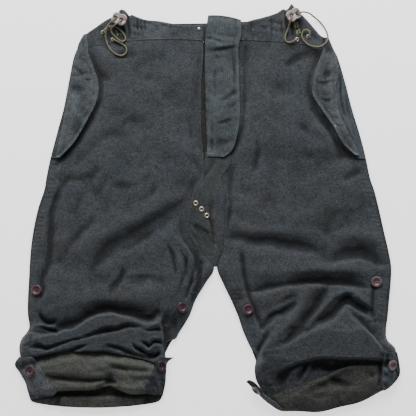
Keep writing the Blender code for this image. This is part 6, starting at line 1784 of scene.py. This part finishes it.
# %% Buttons
# name, x, y, finish
BUTTONS = [
    ("right_outer_button", -290, -139.5, BURGUNDY), ("right_inner_button", -43, -168, BURGUNDY),
    ("left_inner_button", 69, -172, BURGUNDY), ("left_outer_button", 286.5, -125, HIGHLIT_BURGUNDY),
    ("right_outer_tab_button", -300, -275.5, BURGUNDY), ("right_inner_tab_button", -79, -267, SHADED_BURGUNDY),
    ("left_outer_tab_button", 312, -266, HIGHLIT_BURGUNDY), ("left_inner_tab_button", 84, -308, BURGUNDY),
]
BUTTON_PROFILE = [
    (0, 1.7), (0.5, 1.7), (1.0, 1.7), (1.5, 1.7), (2.0, 1.7), (2.5, 1.7), (3.0, 1.7), (3.5, 1.7),
    (4.2, 1.75), (4.9, 2.2), (5.6, 2.9), (6.4, 3.15), (7.4, 3.25), (8.2, 3.2), (8.9, 2.7), (9.3, 1.7),
    (8.8, 0.7), (7.6, 0), (4.0, 0), (0, 0),
]
HOLES = [(u, v, 1.0, 1.6) for u in (-1.6, 1.6) for v in (-1.6, 1.6)]
BUTTON_SEAT = 7.6
LEFT_OUTER_TILT = (0.62, -0.14, 0.77)
for name, x, y, finish in BUTTONS:
    centre, up = seat(x, y, BUTTON_SEAT)
    if name == "left_inner_tab_button":
        up = curled_normals[CURLED_ROWS // 2, CURLED_COLUMNS // 2]
        centre = sum(np.array(corner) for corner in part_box(name)) / 2 / MM - up
    if name == "left_outer_tab_button":
        up = unit(np.array(LEFT_OUTER_TILT))
    turned(name + "_disc", BUTTON_PROFILE, 48, centre, up, [finish], name, HOLES)
    print(name, "at", np.round(centre, 1))

# %% [markdown]
# The stud is a small dome, and an eyelet a ring round a dark hole. Four eyelets at the waist are a little
# smaller than the three of the gusset.

# %% Stud and eyelets
# name, x, y, size
EYELETS = [
    ("right_waist_eyelet_low", -160.5, 286, 0.78), ("right_waist_eyelet_high", -177.5, 298, 0.78),
    ("left_waist_eyelet_low", 152, 286, 0.78), ("left_waist_eyelet_high", 171, 291, 0.78),
    ("crotch_eyelet_one", -20, 8, 1.0), ("crotch_eyelet_two", -10, -2, 1.0),
    ("crotch_eyelet_three", -1, -13, 1.0),
]
STUD_PROFILE = [
    (0, 1.5), (0.8, 1.45), (1.5, 1.3), (2.1, 1.05), (2.6, 0.75), (2.8, 0.5), (2.7, 0.2), (2.3, 0), (0, 0),
]
EYELET_PROFILE = [
    (0, 0.05), (1.0, 0.05), (1.9, 0.08), (2.15, 0.3), (2.35, 0.75), (2.8, 1.05), (3.4, 1.12), (4.0, 0.9),
    (4.5, 0.5), (4.6, 0.2), (4.2, 0), (0, 0),
]
HOLE_RADIUS = 2.0
centre, up = seat(-14.5, 304, 2.3)
turned("waist_stud_dome", STUD_PROFILE, 32, centre, up, [BRASS], "waist_stud")
for name, x, y, size in EYELETS:
    centre, up = seat(x, y, 4.2)
    profile = [(radius * size, height) for radius, height in EYELET_PROFILE]
    turned(name + "_ring", profile, 32, centre, up, [BRASS, EYELET_SHADOW], name,
           dark_inside=HOLE_RADIUS)
    print(name, "at", np.round(centre, 1))

# %% [markdown]
# ## Cord locks
#
# A lock is a block of pale horn-like plastic with two holes. Its outline is a rounded square, one over a
# root of the cosine and sine to a power above two, longer one way and notched in the middle of its long
# sides. It is rounded over at the top and the base, a groove crosses its top, and the holes are round pits
# with dark inner faces where the cord goes in.

# %% Lock finish
LOCK_PLASTIC, shading, shader = new_material("pinkish_plastic", 0.5, Specular_IOR_Level=0.45)
here = shading.place()
streaks = shading.noise(here, 160, 3, 0.6, 0.8)
horn = shading.mix(shading.stretch(streaks, 0.42, 0.6), (0.36, 0.245, 0.235, 1), (0.40, 0.385, 0.40, 1))
stains = shading.stretch(shading.noise(here, 420, 2), 0.56, 0.7, 0, 0.6)
shading.feed(shading.mix(stains, horn, (0.16, 0.12, 0.12, 1)), shader.inputs["Base Color"])
bumped(shading, shader, streaks, 0.3, 0.0004)

# %% [markdown]
# The block is made like a turned piece: rings of points from the middle of its flat top over the rounded
# edge to the middle of its base, but each ring has the block's outline in place of a circle.

# %% Cord locks
# name, x, y, turn in degrees, the places of its pits
LOCKS = [
    ("right_cord_lock", -149.5, 320, -20, ((-156, 321), (-146, 318))),
    ("left_cord_lock", 146, 327, 30, ((142, 326), (152, 329))),
]
LOCK_HEIGHT = 12.0
LOCK_BASE = 10.0
LOCK_SIDES = 72
LOCK_TOP_RINGS = 40
HALF_LENGTH, HALF_WIDTH = 12.6, 10.2
SQUARENESS = 3.2
PIT_RADIUS = 2.7
PIT_DEPTH = 6.0
# share of the outline's size, and height: the flat top, the rounded edge, the side and the base
LOCK_EDGE = [
    (0.9, 11.7), (0.94, 11.1), (0.97, 10.3), (0.99, 9.4), (1.0, 8.4), (1.0, 3.6), (0.99, 2.6), (0.97, 1.7),
    (0.93, 0.8), (0.85, 0.2), (0.5, 0), (0, 0),
]
for name, lock_x, lock_y, turn, pits in LOCKS:
    lock_top = [(k, LOCK_HEIGHT) for k in np.linspace(0, 0.86, LOCK_TOP_RINGS)]
    share, height = np.array(lock_top + LOCK_EDGE).T[:, :, None]
    cosine, sine = np.cos(circle(LOCK_SIDES)), np.sin(circle(LOCK_SIDES))
    squared = (np.abs(cosine) ** SQUARENESS + np.abs(sine) ** SQUARENESS) ** (-1 / SQUARENESS)
    u, v = HALF_LENGTH * share * cosine * squared, HALF_WIDTH * share * sine * squared
    v = v * (1 - 0.13 * bell(u, 2.6))
    x, y = turned_by(u, v, turn)
    x, y = lock_x + x, lock_y + y
    crown = 0.7 * bell(share - 0.84, 0.1) - 1.3 * bell(v, 2.6) * (share < 0.9)
    depth = sum(bell(np.hypot(x - pit_x, y - pit_y), PIT_RADIUS, 4) for pit_x, pit_y in pits)
    z = LOCK_BASE + height + (height > 6) * crown - PIT_DEPTH * depth * (height > 8)
    body = np.stack([x, y, z], axis=2)
    points, faces = ring_form(body[0, 0], body[1:-1], body[-1, 0])
    in_pit = ((depth > 0.55) & (height > 8))[1:-2].ravel()
    finish_of = np.concatenate([in_pit, np.zeros(2 * LOCK_SIDES)])
    finishes = [LOCK_PLASTIC, EYELET_SHADOW]
    make_piece(name + "_block", points, faces, finishes, name, finish_of=finish_of)
    print(name, "top", round(float(z.max()), 1), "mm")

# %% [markdown]
# ## Floor and light
#
# The floor is a pale plane that glows a little, so that it stays almost as white as the photo's ground.

# %% Floor
FLOOR_REACH = 4.0
FLOOR_DROP = 0.0005
PALE, PALER = (0.90, 0.90, 0.90), (0.93, 0.93, 0.93)
floor_material, _, shader, _ = clouded("pale_floor", 0.9, PALE, PALER, (3, 2))
shader.inputs["Emission Color"].default_value = (1, 1, 1, 1)
shader.inputs["Emission Strength"].default_value = 1.3
floor_mesh = bpy.data.meshes.new("floor")
corners = [(-FLOOR_REACH, -FLOOR_REACH, 0), (FLOOR_REACH, -FLOOR_REACH, 0), (FLOOR_REACH, FLOOR_REACH, 0),
           (-FLOOR_REACH, FLOOR_REACH, 0)]
floor_mesh.from_pydata(corners, [], [(0, 1, 2, 3)])
floor_mesh.materials.append(floor_material)
floor = bpy.data.objects.new("floor", floor_mesh)
floor.location = (0, 0, -FLOOR_DROP)
bpy.context.scene.collection.objects.link(floor)

# %% [markdown]
# One large soft lamp stands on the waist side, low enough for the folds to show, and a pale sky fills the
# shadows.

# %% Light
LAMP_PLACE = (-0.12, 1.9, 1.25)
LAMP_AIM = (0, -0.05, 0)
SKY_COLOUR = (0.95, 0.97, 1.0, 1)
SKY_STRENGTH = 0.25
key_data = bpy.data.lights.new("soft_lamp", "AREA")
key_data.shape = "RECTANGLE"
key_data.size = 1.8
key_data.size_y = 1.2
key_data.energy = 82
key = bpy.data.objects.new("soft_lamp", key_data)
key.location = LAMP_PLACE
key.rotation_euler = (Vector(LAMP_AIM) - key.location).to_track_quat("-Z", "Y").to_euler()
bpy.context.scene.collection.objects.link(key)

world = bpy.data.worlds.new("pale_sky")
world.use_nodes = True
world.node_tree.nodes["Background"].inputs["Color"].default_value = SKY_COLOUR
world.node_tree.nodes["Background"].inputs["Strength"].default_value = SKY_STRENGTH
bpy.context.scene.world = world
